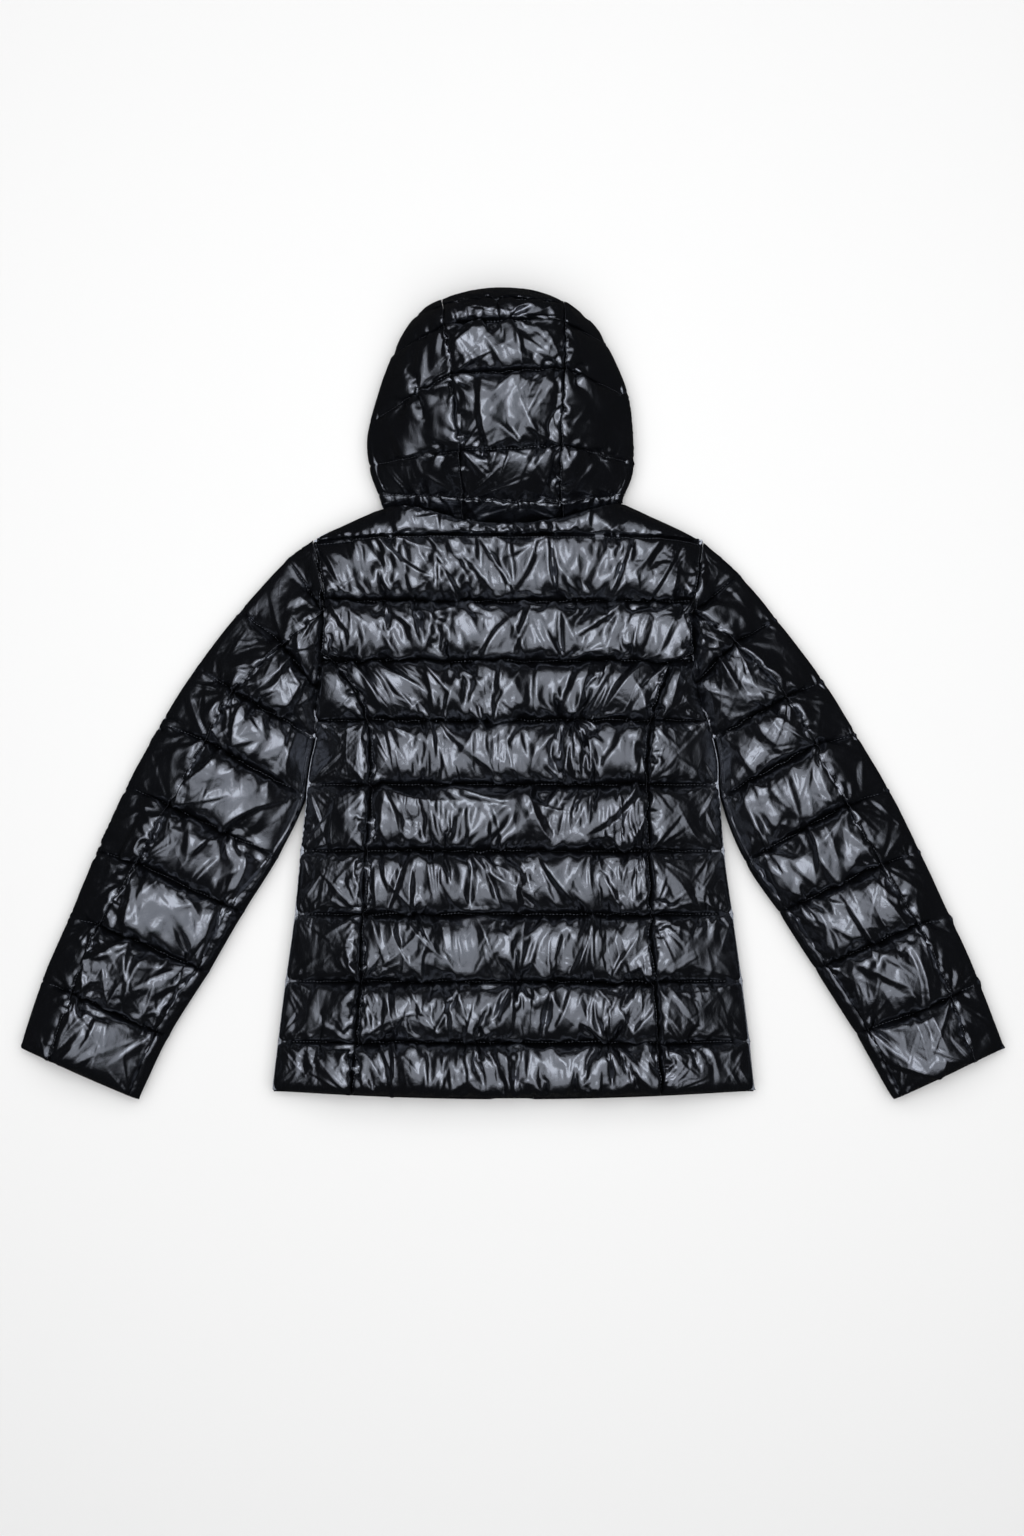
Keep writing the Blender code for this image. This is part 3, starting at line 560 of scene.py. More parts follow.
def settle(shape, start, slack, pinned, steps, bend, flatten, pressure, hold, floor=None):
    """Cloth that is longer than the shape it lies on: it is blown up a little and finds its own creases.

    shape gives its lengths and slack how much longer it is, along the rows and across them. bend is how
    stiffly it keeps that shape's curves, and flatten how much of them it would rather lose.
    """
    shape, points, home = shape.astype(np.float32), start.astype(np.float32), start.astype(np.float32)
    free = (~pinned).astype(np.float32)
    joined = []
    sorts = (0, 1, 1), (1, 0, 1), (1, 1, SHEAR), (1, -1, SHEAR), (0, 2, None), (2, 0, None)
    for down, right, firm in sorts:
        bends = firm is None
        pull, push = (BEND_PULL * bend, bend) if bends else (firm, firm)
        for a, b, corner in ties(pinned.shape, down, right):
            longer, wider = (part[a][..., None] for part in slack)
            run = (shape[corner] - shape[a]) * longer + (shape[b] - shape[corner]) * wider
            length = np.linalg.norm(run, axis=-1)
            if bends:
                middle = np.ix_(a[0].ravel() + down // 2, a[1].ravel() + right // 2)
                straight = np.linalg.norm(shape[middle] - shape[a], axis=-1)
                straight += np.linalg.norm(shape[b] - shape[middle], axis=-1)
                length = np.where(pinned[middle], length, across(length, straight, flatten))
            both = free[a] + free[b]
            both[both == 0] = 1
            shares = (free[a] / both)[..., None], (free[b] / both)[..., None]
            joined.append((a, b, length, *shares, pull, push, bends))
    speed = np.zeros_like(points)
    facing = None
    for _ in range(steps):
        normal = normals(points)
        if facing is None:
            facing = np.sign(normal[..., 2].mean())
        before = points.copy()
        pushed = normal * (facing * pressure)
        points += (speed * SPEED_KEPT + pushed + (home - points) * hold) * free[..., None]
        for _ in range(ROUNDS):
            for a, b, length, share_a, share_b, pull, push, bends in joined:
                one, other = points[a], points[b]
                gap = other - one
                now = np.sqrt(np.einsum("ijk,ijk->ij", gap, gap))
                off = (now - length) / np.maximum(now, 1e-6)
                # Once folded sharply, cloth resists folding no further, so its creases have flat sides.
                hold_off = push / (1 + (off / KINK) ** 2) if bends else push
                move = np.where(off > 0, off * pull, off * hold_off)[..., None] * gap
                points[a] = one + move * share_a
                points[b] = other - move * share_b
        if floor is not None:
            points[..., 2] = np.maximum(points[..., 2], floor)
        speed = points - before
    return points


def line_gather(rest, step, seed):
    """How much the stitching gathers the fabric at each point, from the lines of quilting on either side."""
    along = np.stack([rest[..., 0] + GATHER_LEAN * rest[..., 1], 0 * rest[..., 1]], -1)
    below = np.floor(step + 1e-9)[:, None]
    t = (step[:, None] - below).clip(0, 1)
    found = 0
    for line, weight in ((below, (1 - t) ** GATHER_FADE), (below + 1, t**GATHER_FADE)):
        uneven = lumps(along + line[..., None] * LINE_SHIFT, GATHER_SIZE, seed)
        found = found + weight * np.clip(GATHER_MEAN + GATHER_SPREAD * uneven, 0, 3)
    return found


def piled(one, other):
    """Two folds on each other: the higher one, and a little of the lower."""
    return np.maximum(one, other) + FOLD_SUM * np.minimum(one, other)


def fold(x, y, root, angle, length, height, gentle, steep, curve=0.0):
    """A pointed fold that runs from its root and dies out, with a gentle side and a steep one."""
    east, north = math.cos(angle), math.sin(angle)
    along = (x - root[0]) * east + (y - root[1]) * north
    beside = (y - root[1]) * east - (x - root[0]) * north - curve * along**2
    profile = np.where(beside < 0, 1 + beside / gentle, 1 - beside / steep).clip(0, 1)
    taper = (1 - along / length).clip(0, 1) ** FOLD_TAPER * (along / FOLD_START).clip(0, 1)
    return height * profile * taper


class Channel:
    """One padded channel of a panel, laid out flat, on which folds pile up."""

    def __init__(self, block, dice):
        steps = np.linalg.norm(np.diff(block[len(block) // 2, :, :2], axis=0), axis=-1)
        self.x = np.append(0, np.cumsum(steps))
        down = np.linalg.norm(np.diff(block[..., :2], axis=0), axis=-1)
        self.y = np.concatenate([down[:1] * 0, np.cumsum(down, axis=0)])
        self.tall, self.wide, self.dice = self.y[-1], self.x[-1], dice
        self.height = np.zeros_like(self.y)
        self.fan = 0.0

    def column(self, x):
        """The column of points at this distance from the first."""
        return min(np.searchsorted(self.x, x), len(self.x) - 1)

    def add(self, root, angle, length, height, gentle, steep, curve=0.0):
        """One more fold, which falls steeply on either side by chance."""
        near = np.nonzero(np.abs(self.x - root[0]) < length + gentle)[0]
        if len(near) < 3:
            return
        part = np.s_[:, near[0] : near[-1] + 1]
        x, y = np.broadcast_to(self.x[part[1]], self.y[part].shape), self.y[part]
        if self.dice.uniform() >= 0.5:
            y, angle, curve = 2 * root[1] - y, -angle, -curve
        one = fold(x, y, root, angle, length, height, gentle, steep, curve)
        self.height[part] = piled(self.height[part], one)

    def from_line(self, line, every, lean, make):
        """Folds that start along the upper, 0, or the lower, 1, line of quilting."""
        for x in self.dice.uniform(0, self.wide, int(self.wide / every)):
            root = (x, line * self.tall[self.column(x)])
            turn = self.dice.normal(self.fan * (x / self.wide - 0.5), lean)
            turn = np.clip(turn, -FOLD_MOST_LEAN, FOLD_MOST_LEAN) + (90 - 180 * line)
            self.add(root, math.radians(turn), *make(self.tall[self.column(x)]))

    def from_seam(self, end, every, make):
        """Folds that start along a lengthwise seam, at the first column, 0, or the last, -1."""
        for y in self.dice.uniform(0, self.tall[end], int(self.tall[end] / every)):
            turn = math.radians(self.dice.normal(0, SEAM_LEAN) + (0 if end == 0 else 180))
            self.add((self.x[end], y), turn, *make())

    def from_corners(self, end, count, size, inset=0.0):
        """Folds that fan out from where a lengthwise seam meets the quilting."""
        x = self.x[end] + (inset if end == 0 else -inset)
        for corner, tilt in ((0, 1), (self.tall[end], -1)):
            for _ in range(count):
                turn = math.radians(self.dice.uniform(*CORNER_TURN)) * tilt
                gentle = self.dice.uniform(*CORNER_WIDTH) * size
                length = self.dice.uniform(*CORNER_LENGTH) * size
                height = gentle * self.dice.uniform(*FOLD_SLOPE)
                turn = turn if end == 0 else math.pi - turn
                self.add((x, corner), turn, length, height, gentle, CORNER_STEEP)

    def deep_pleat(self, x, lean):
        """A narrow valley right across the channel."""
        depth, half = self.dice.uniform(*PLEAT_DEPTH), self.dice.uniform(*PLEAT_HALF)
        share = self.y / np.maximum(self.tall, 1e-6)
        beside = self.x - x - lean * (self.y - self.tall / 2)
        valley = (1 - np.abs(beside) / (half * np.sin(math.pi * share) + 0.3)).clip(0, 1)
        self.height -= depth * valley * np.sin(math.pi * share)


def folds(rest, step, seed, seams, calm, crisp_calm, corners, corner_size, pleats, deep, fan, edge_fans):
    """How far the folds that start at the stitching stand off the cloth, channel by channel."""
    dice = np.random.default_rng(seed)
    rows, columns = rest.shape[:2]
    raised = np.zeros((rows, columns))

    def long_fold(tall):
        big = dice.uniform() ** 2
        gentle = across(*FOLD_WIDTH, big) * dice.uniform(*FOLD_WIDTH_VARIES)
        length = tall * across(*FOLD_LENGTH, big) * dice.uniform(*FOLD_LENGTH_VARIES)
        height = gentle * dice.uniform(*FOLD_SLOPE)
        return length, height, gentle, dice.uniform(*FOLD_STEEP), dice.normal(0, FOLD_CURVE)

    def great_fold(tall):
        gentle = dice.uniform(*GREAT_WIDTH)
        length = tall * dice.uniform(*GREAT_LENGTH)
        height = gentle * dice.uniform(*GREAT_SLOPE)
        return length, height, gentle, dice.uniform(*GREAT_STEEP), dice.normal(0, GREAT_CURVE)

    def pucker(reach, steep):
        gentle = dice.uniform(*PUCKER_WIDTH)
        return dice.uniform(*reach), gentle * dice.uniform(*PUCKER_SLOPE), gentle, steep

    def line_pucker(tall):
        return pucker(PUCKER_REACH, PUCKER_STEEP)

    def seam_pucker():
        return pucker(SEAM_REACH, SEAM_STEEP)

    lines = [i for i in range(rows) if i in (0, rows - 1) or abs(step[i] - round(step[i])) < 1e-6]
    for first, last in zip(lines[:-1], lines[1:]):
        if last - first < LEAST_ROWS:
            continue
        across_channel = np.s_[first : last + 1]
        channel = Channel(rest[across_channel], dice)
        channel.fan = fan * (1 - step[first] / len(QUILTING_Y))
        for line in (0, 1):
            channel.from_line(line, FOLD_EVERY / pleats, FOLD_LEAN, long_fold)
            channel.from_line(line, PUCKER_EVERY, PUCKER_LEAN, line_pucker)
            channel.from_line(line, GREAT_EVERY / pleats, GREAT_LEAN, great_fold)
        for _ in range(dice.poisson(deep * channel.wide / 100)):
            middle = np.clip(dice.normal(0.5, PLEAT_SPREAD), 0.1, 0.9) * channel.wide
            channel.deep_pleat(middle, dice.normal(0, PLEAT_LEAN))
        made = channel.height * calm[across_channel]
        channel.height = np.zeros_like(made)
        for end in seams:
            channel.from_seam(end, SEAM_EVERY, seam_pucker)
            channel.from_corners(end, corners, corner_size)
        if edge_fans:
            channel.from_corners(0, edge_fans, EDGE_FAN_SIZE, EDGE_FAN_INSET)
        made = np.where(made < 0, made, piled(made, channel.height * crisp_calm[across_channel]))
        made *= np.clip(np.minimum(channel.y, channel.tall - channel.y) / FOLD_RUN_IN, 0, 1)
        raised[across_channel] = made
    return raised


def scallops(rest, step, inside, outline):
    """The panel's free edge swells out between the lines of quilting and is drawn in at them."""
    moved = np.zeros_like(rest)
    near = inside < SCALLOP_WIDTH
    if near.any():
        points = rest[near][:, :2]
        here = inside[near]
        away = np.stack([here - distance_to(outline, points + nudge) for nudge in np.eye(2)], -1)
        away = unit(away, 1e-3)
        swell = SCALLOP * (puffed(step % 1) - SCALLOP_LEVEL)[:, None] * np.ones(inside.shape)
        if outline is JACKET_OUTLINE:
            # Under the arm the sleeve and the body touch, so their edges stay straight there.
            apart = np.maximum(np.abs(rest[..., 0]) - UNDERARM_HALF, UNDERARM_LOW - rest[..., 1])
            swell *= (apart / UNDERARM_FADE).clip(0, 1)
        moved[near, :2] = away * (swell[near] * (1 - here / SCALLOP_WIDTH))[:, None]
    return moved


def creased(
    rest,
    step,
    seed,
    seams=(0, -1),
    still=False,
    gather=1.0,
    calm_width=CALM,
    floor=None,
    outline=JACKET_OUTLINE,
    scalloped=True,
    corners=2,
    corner_size=1.0,
    pleats=1.0,
    deep=0.0,
    fan=0.0,
    edge_fans=0,
):
    """The quilted surface with its creases, its seam and quilting lines held.

    rest holds the points in rows, step says how far each row is through its channel, seams are the columns
    held down, and still marks other points that don't move. gather scales the slack. corners and edge_fans
    count the folds that fan out at the seams and inside the edge, pleats says how close folds lie, deep how
    many pleats there are to 100 mm, and fan how far the folds spread out to the sides, in degrees.
    """
    rows, columns = rest.shape[:2]
    inside = distance_to(outline, rest[..., :2])
    calm = np.clip((inside - SMOOTH_STRIP) / calm_width, 0, 1)
    crisp_calm = np.clip((inside - SMOOTH_STRIP) / CRISP_CALM, 0, 1)
    if scalloped:
        rest = rest + scallops(rest, step, inside, outline)
    on_line = np.abs(step - np.round(step)) < 1e-6
    still = np.zeros((rows, columns), bool) | still
    pinned = still.copy()
    pinned[on_line] = True
    pinned[[0, -1]] = True
    for column in seams:
        pinned[:, column] = True
    gathered = LEAST_GATHER + (1 - LEAST_GATHER) * calm
    slack_along = 1 + GATHER * gather * line_gather(rest, step, seed) * gathered
    slack_across = 1 + np.clip(STEADY_MEAN + STEADY_SPREAD * lumps(rest, STEADY_SIZE, seed + 5), 0, 0.2)
    slack = [slack_along.astype(np.float32), slack_across.astype(np.float32)]
    # Stitching draws the fabric to and fro along its line, more here and less there.
    run = unit(np.gradient(rest, axis=1))
    off_seam = np.clip(from_ends(columns) / SEAM_COLUMNS, 0, 1)
    off_end = np.clip(from_ends(rows) / END_ROWS, 0, 1)[:, None]
    slip = SLIP * lumps(rest, SLIP_SIZE, seed + 11) * off_seam * calm * off_end
    wander = np.stack([lumps(rest, size, noise) * most for size, noise, most in SEAM_WANDER], -1)
    wander = wander * calm[..., None] * off_end[..., None]
    sewn = pinned & ~still
    moved = np.where(sewn[..., None], wander, 0)
    moved += np.where(sewn & on_line[:, None], slip, 0)[..., None] * run
    moved[..., 2] += np.where(pinned, 0, ROUGHNESS * lumps(rest, ROUGHNESS_SIZE, seed + 41))
    shift = moved[::COARSEST, ::COARSEST].copy()
    for stride, steps, share, extra, bend, flatten, pressure, hold, jog in PASSES:
        fixed = pinned[::stride, ::stride]
        base = rest[::stride, ::stride]
        if stride < COARSEST:
            shift = np.where(fixed[..., None], moved[::stride, ::stride], between(shift))
        if stride == 1:
            normal = normals(rest)
            normal *= np.sign(normal[..., 2].mean())
            normal[..., :2] *= 0.5
            kinds = corners, corner_size, pleats, deep, fan, edge_fans
            off = folds(rest, step, seed + 70, seams, calm, crisp_calm, *kinds)
            off = np.where(fixed, 0, np.clip(from_ends(rows) / 2, 0, 1)[:, None] * off)
            off -= off.mean() * np.where(fixed, 0, 1)
            shift = shift + normal * off[..., None]
        shape = base if share else base + shift
        part = [1 + share * (along[::stride, ::stride] - 1) for along in slack]
        part = [along * (1 + extra * np.clip(1 + lumps(base, 30, seed + 60), 0, 3)) for along in part]
        uneven = lumps(base, (2.6 * stride, 4 * stride), seed + 50 + stride)
        shift[..., 2] += np.where(fixed, 0, jog * uneven)
        shift = settle(shape, base + shift, part, fixed, steps, bend, flatten, pressure, hold, floor) - base
    return rest + shift


# Materials


def node_group(name, sockets_in, sockets_out):
    """An empty node group with these named sockets."""
    group = bpy.data.node_groups.new(name, "ShaderNodeTree")
    for label, kind, value in sockets_in:
        socket = group.interface.new_socket(label, in_out="INPUT", socket_type=kind)
        socket.default_value = value
    for label, kind in sockets_out:
        group.interface.new_socket(label, in_out="OUTPUT", socket_type=kind)
    return group, group.nodes.new("NodeGroupInput"), group.nodes.new("NodeGroupOutput")


def add_node(tree, kind, **inputs):
    """A node whose inputs are set, or joined where another node's output is given."""
    node = tree.nodes.new(kind)
    for label, value in inputs.items():
        socket = node.inputs[label.replace("_", " ")]
        if isinstance(value, bpy.types.NodeSocket):
            tree.links.new(value, socket)
        else:
            socket.default_value = value
    return node


def maths(tree, operation, a, b=None):
    """The result of a sum on numbers or on other nodes' outputs."""
    node = tree.nodes.new("ShaderNodeMath")
    node.operation = operation
    for socket, value in zip(node.inputs, (a, b)):
        if isinstance(value, bpy.types.NodeSocket):
            tree.links.new(value, socket)
        elif value is not None:
            socket.default_value = value
    return node.outputs[0]


def ridges(tree, noise):
    """Sharp valleys along the middle value of a noise."""
    return maths(tree, "ABSOLUTE", maths(tree, "SUBTRACT", noise.outputs["Fac"], 0.5))


def nylon_weave():
    """The fine weave and small crumples of thin coated nylon, as a height and a gloss value."""
    group, given, out = node_group(
        "nylon_weave",
        [
            ("Crumple Size", "NodeSocketFloat", 90.0),
            ("Crumple Depth", "NodeSocketFloat", 0.4),
            ("Crinkle Size", "NodeSocketFloat", 55.0),
            ("Crinkle Depth", "NodeSocketFloat", 1.0),
        ],
        [("Height", "NodeSocketFloat"), ("Unevenness", "NodeSocketFloat")],
    )
    place = group.nodes.new("ShaderNodeTexCoord").outputs["Object"]
    given = given.outputs
    noise = "ShaderNodeTexNoise"
    crumple = {"Scale": given["Crumple Size"], "Detail": 4.0, "Roughness": 0.55, "Distortion": 0.6}
    crumple = add_node(group, noise, Vector=place, **crumple)
    threads = []
    for turn in (0.0, math.pi / 2):
        turned = add_node(group, "ShaderNodeMapping", Vector=place, Rotation=(0, 0, turn)).outputs["Vector"]
        wave = add_node(group, "ShaderNodeTexWave", Vector=turned, Scale=900.0, Distortion=0.4, Detail=0.0)
        threads.append(wave.outputs["Fac"])
    weave = maths(group, "MULTIPLY", *threads)
    creases = maths(group, "MULTIPLY", ridges(group, crumple), given["Crumple Depth"])
    stretched = add_node(group, "ShaderNodeMapping", Vector=place, Scale=(1, 0.35, 0.6)).outputs["Vector"]
    crinkle = {"Scale": given["Crinkle Size"], "Detail": 1.5, "Roughness": 0.45, "Distortion": 0.5}
    crinkle = add_node(group, noise, Vector=stretched, **crinkle)
    sharp = maths(group, "MULTIPLY", ridges(group, crinkle), given["Crinkle Depth"])
    height = maths(group, "ADD", creases, maths(group, "MULTIPLY", weave, 0.008))
    group.links.new(maths(group, "SUBTRACT", height, sharp), out.inputs["Height"])
    patches = add_node(group, noise, Vector=place, Scale=34.0, Detail=3.0, Roughness=0.6)
    group.links.new(patches.outputs["Fac"], out.inputs["Unevenness"])
    return group


def shell_fabric(name, weave, colour=(0.0025, 0.0027, 0.0035), roughness=0.19):
    """Black coated nylon with a wet gloss."""
    material = bpy.data.materials.new(name)
    material.use_nodes = True
    tree = material.node_tree
    shader = tree.nodes["Principled BSDF"]
    shader.inputs["Base Color"].default_value = (*colour, 1)
    shader.inputs["IOR"].default_value = 1.8
    shader.inputs["Specular Tint"].default_value = (0.80, 0.86, 1.0, 1)
    detail = tree.nodes.new("ShaderNodeGroup")
    detail.node_tree = weave
    uneven = {"From Min": 0.3, "From Max": 0.7, "To Min": roughness - 0.06, "To Max": roughness + 0.07}
    uneven = add_node(tree, "ShaderNodeMapRange", Value=detail.outputs["Unevenness"], **uneven)
    tree.links.new(uneven.outputs["Result"], shader.inputs["Roughness"])
    bump = add_node(tree, "ShaderNodeBump", Height=detail.outputs["Height"], Strength=1.0, Distance=0.001)
    tree.links.new(bump.outputs["Normal"], shader.inputs["Normal"])
    return material


# Building the pieces

WEAVE = nylon_weave()
THREAD_NYLON = shell_fabric("nylon_thread", WEAVE, colour=(0.004, 0.004, 0.005), roughness=0.4)


def sewn_piece(name, points, faces, nylon):
    """A smooth piece of the jacket in black nylon, from its points, in millimetres, and its faces."""
    mesh = bpy.data.meshes.new(name)
    mesh.from_pydata((np.asarray(points) * MM).tolist(), [], faces)
    mesh.shade_smooth()
    mesh.materials.append(nylon)
    piece = bpy.data.objects.new(name, mesh)
    bpy.context.scene.collection.objects.link(piece)
    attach(piece, "root")
    return piece


def padded_piece(name, points, faces):
    """A closed, padded piece, whose faces are turned outwards."""
    piece = sewn_piece(name, points, faces, shell_fabric(f"{name}_nylon", WEAVE))
    bm = bmesh.new()
    bm.from_mesh(piece.data)
    bmesh.ops.recalc_face_normals(bm, faces=bm.faces)
    if bm.calc_volume(signed=True) < 0:
        bmesh.ops.reverse_faces(bm, faces=bm.faces)
    bm.to_mesh(piece.data)
    bm.free()
    piece.data.set_sharp_from_angle(angle=math.radians(75))
    return piece


def quads(index):
    """The faces of a grid of point numbers."""
    corners = [index[:-1, :-1], index[:-1, 1:], index[1:, 1:], index[1:, :-1]]
    return np.stack(corners, -1).reshape(-1, 4).tolist()


def flat_backed(name, outer, inside_level, tucked=0.0):
    """A padded panel with a plain, level inner side, which ends this far short of the hem."""
    rows, columns = outer.shape[:2]
    index = np.arange(rows * columns).reshape(rows, columns)
    rim = np.concatenate([index[0], index[1:-1, -1], index[-1][::-1], index[-2:0:-1, 0]])
    points = outer.reshape(-1, 3)
    inner = points[rim].copy()
    inner[:, 2] = inside_level
    inner[np.isin(rim, index[-1]), 1] += tucked
    back = np.arange(len(rim)) + len(points)
    walls = [[rim[i - 1], rim[i], back[i], back[i - 1]] for i in range(len(rim))]
    faces = quads(index) + walls + [back[::-1].tolist()]
    return padded_piece(name, np.concatenate([points, inner]), faces)


def wall(name, outer, inner):
    """A panel between its outer and its inner rows of points, which run the same way round."""
    rows, columns = outer.shape[:2]
    depth = inner.shape[1]
    out = np.arange(rows * columns).reshape(rows, columns)
    back = np.arange(rows * depth).reshape(rows, depth) + rows * columns
    faces = quads(out) + quads(back)
    for end in (0, -1):
        faces += quads(np.stack([out[:, end], back[:, end]], 1))
        faces.append([*out[end].tolist(), *back[end][::-1].tolist()])
    return padded_piece(name, np.concatenate([outer.reshape(-1, 3), inner.reshape(-1, 3)]), faces)


def stitches(name, lines):
    """A row of stitches along each of these lines, lying on the fabric."""
    found = []
    for line in lines:
        along = np.append(0, np.cumsum(np.linalg.norm(np.diff(line, axis=0), axis=-1)))
        starts = np.arange(1, along[-1] - STITCH, STITCH_EVERY)
        at = np.stack([starts, starts + STITCH], 1)
        found.append(np.stack([np.interp(at, along, line[:, i]) for i in range(3)], -1))
    ends = np.concatenate(found)
    ends[..., 2] += 0.6 * THREAD
    run = unit(ends[:, 1] - ends[:, 0])
    beside = unit(np.cross(run, [0.0, 0.0, 1.0]))
    over = np.cross(beside, run)
    rings = []
    for end, inset in ((0, 0.5), (1, -0.5)):
        for k in range(THREAD_SIDES):
            turn = 2 * math.pi * k / THREAD_SIDES
            spoke = math.cos(turn) * beside + math.sin(turn) * over
            rings.append(ends[:, end] + inset * run + THREAD * spoke)
    points = np.stack([*rings, ends[:, 0], ends[:, 1]], 1)
    faces = []
    for k in range(THREAD_SIDES):
        after = (k + 1) % THREAD_SIDES
        faces.append([k, THREAD_SIDES + k, THREAD_SIDES + after, after])
        faces.append([k, after, 2 * THREAD_SIDES])
        faces.append([THREAD_SIDES + after, THREAD_SIDES + k, 2 * THREAD_SIDES + 1])
    faces = [[i * points.shape[1] + j for j in face] for i in range(len(points)) for face in faces]
    return sewn_piece(name, points.reshape(-1, 3), faces, THREAD_NYLON)


def quilted_lines(panel, step, columns=slice(None), seams=()):
    """Where a panel is stitched: its quilting lines, and a line beside each of these lengthwise seams."""
    on_line = [i for i in range(1, len(step) - 1) if abs(step[i] - round(step[i])) < 1e-6]
    return [panel[i, columns] for i in on_line] + [panel[:, column] for column in seams]


def hem_y(x, hem):
    """The hem's curve, lowest at the middle."""
    side, middle = hem
    return middle + (side - middle) * (np.asarray(x) / BODY_EDGE[-1][2]) ** 2


def body_rows(rows, hem, left_of, right_of, shares):
    """Plan points of a body panel. Row 0 is its top seam, the last row its hem."""
    last = len(QUILTING_Y)
    lines = QUILTING_Y + [hem[0]]
    points = []
    for row in rows:
        k = min(int(row), last - 1)
        y = across(lines[k], lines[k + 1], row - k)
        drop = max(1 - row, 0) * YOKE_SEAM_DROP
        x = across(left_of(y - drop), right_of(y - drop), shares)
        y = y - drop * np.abs(x / SHOULDER_HALF) ** 4
        if k == last - 1:
            y = y + (row - k) * (hem_y(x, hem) - hem[0])
        points.append(np.stack([x, y], -1))
    return np.array(points)


def side_seam(y, side):
    """The seam between centre back and side back. Above its top it runs just inside the armhole."""
    tip = body_edge(y, side) - side * SIDE_BACK_TIP
    return np.where(np.asarray(y) > PRINCESS_SEAM[0][0], tip, princess_seam(y, side))


def back_panels():
    """The centre back and the two side backs."""
    rows = channel_rows(0, len(QUILTING_Y), FINE)

    def centre_edge(side):
        def edge(y):
            return side_seam(y, side) - side * SEAM_GAP if y < SIDE_BACK_TOP else body_edge(y, side)

        return edge

    shares = eased(CENTRE_STEPS, how_much=CENTRE_EASE)
    plan = body_rows(rows, BACK_HEM, centre_edge(-1), centre_edge(1), shares)
    beside_yoke = (1 - BESIDE_YOKE * rows).clip(0, 1)[:, None]
    shallow, full = YOKE_SEAM_SHALLOW * beside_yoke, fullness(plan, beside_yoke)
    rest = grooved(upper(plan, (rows % 1)[:, None], seam_distance(plan, 0, -1), shallow, full))
    panel = creased(rest, rows, seed=101, deep=0.5, fan=90, scalloped=False)
    piece = flat_backed("back_centre_shell", panel, LAYER_LEVEL + LAYER_GAP)
    stitches("back_centre_stitches", [*quilted_lines(panel, rows, seams=(1, -2)), panel[2]])
    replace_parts(piece, "back_centre")

    first = math.ceil(SIDE_BACK_ROW * FINE)
    rows = rows[first - first % COARSEST :]
    for side, word in ((-1, "left"), (1, "right")):
        plan = body_rows(
            rows,
            BACK_HEM,
            lambda y: body_edge(y, side) + side * SIDE_SET_OUT,
            lambda y: side_seam(y, side) + side * SEAM_GAP,
            eased(SIDE_STEPS, True, False, SIDE_EASE),
        )
        rest = upper(plan, (rows % 1)[:, None], seam_distance(plan, -1))
        from_seam = 1 - (plan[..., 0] - plan[:, :1, 0]) / (plan[:, -1:, 0] - plan[:, :1, 0])
        below_arm = np.clip((rows[:, None] - UNDERARM_ROW) / SIDE_FALL_ROWS, 0, 1)
        fall = SIDE_FALL * below_arm * from_seam**SIDE_FALL_POWER
        rest = lowered(rest, (1 - fall) * sunk_at_armhole(plan, rows, 0))
        kinds = {"gather": 0.3, "pleats": 0.35, "corners": 6, "calm_width": 80, "edge_fans": 5}
        panel = creased(rest, rows, seed=110 + side, **kinds)
        piece = flat_backed(f"back_side_{word}_shell", panel, LAYER_LEVEL + LAYER_GAP)
        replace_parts(piece, f"back_side_{word}")
        stitches(f"back_side_{word}_stitches", quilted_lines(panel, rows, SIDE_SEWN))


def yoke():
    """The narrow panel between the yoke seam, the shoulders and the neck seam."""
    x = np.linspace(BODY_EDGE[0][1] + YOKE_SET_IN, BODY_EDGE[0][2] - YOKE_SET_IN, YOKE_STEPS + 1)
    seam = QUILTING_Y[0] - YOKE_SEAM_DROP * np.abs(x / SHOULDER_HALF) ** 4 + SEAM_GAP
    top = np.maximum(shoulder_line(x) - SEAM_GAP, seam + LEAST_YOKE)
    steps = np.linspace(0, 1, YOKE_ROWS + 1)
    plan = np.array([np.stack([x, across(seam, top, s)], -1) for s in steps])
    shallow = (YOKE_SEAM_SHALLOW + YOKE_LOFT * puffed(steps))[:, None]
    rest = grooved(upper(plan, 0, shallow=shallow, full=fullness(plan)))
    panel = creased(rest, steps, seed=120, gather=0.5, pleats=0.6, scalloped=False)
    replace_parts(flat_backed("back_yoke_shell", panel, LAYER_LEVEL + LAYER_GAP), "back_yoke")


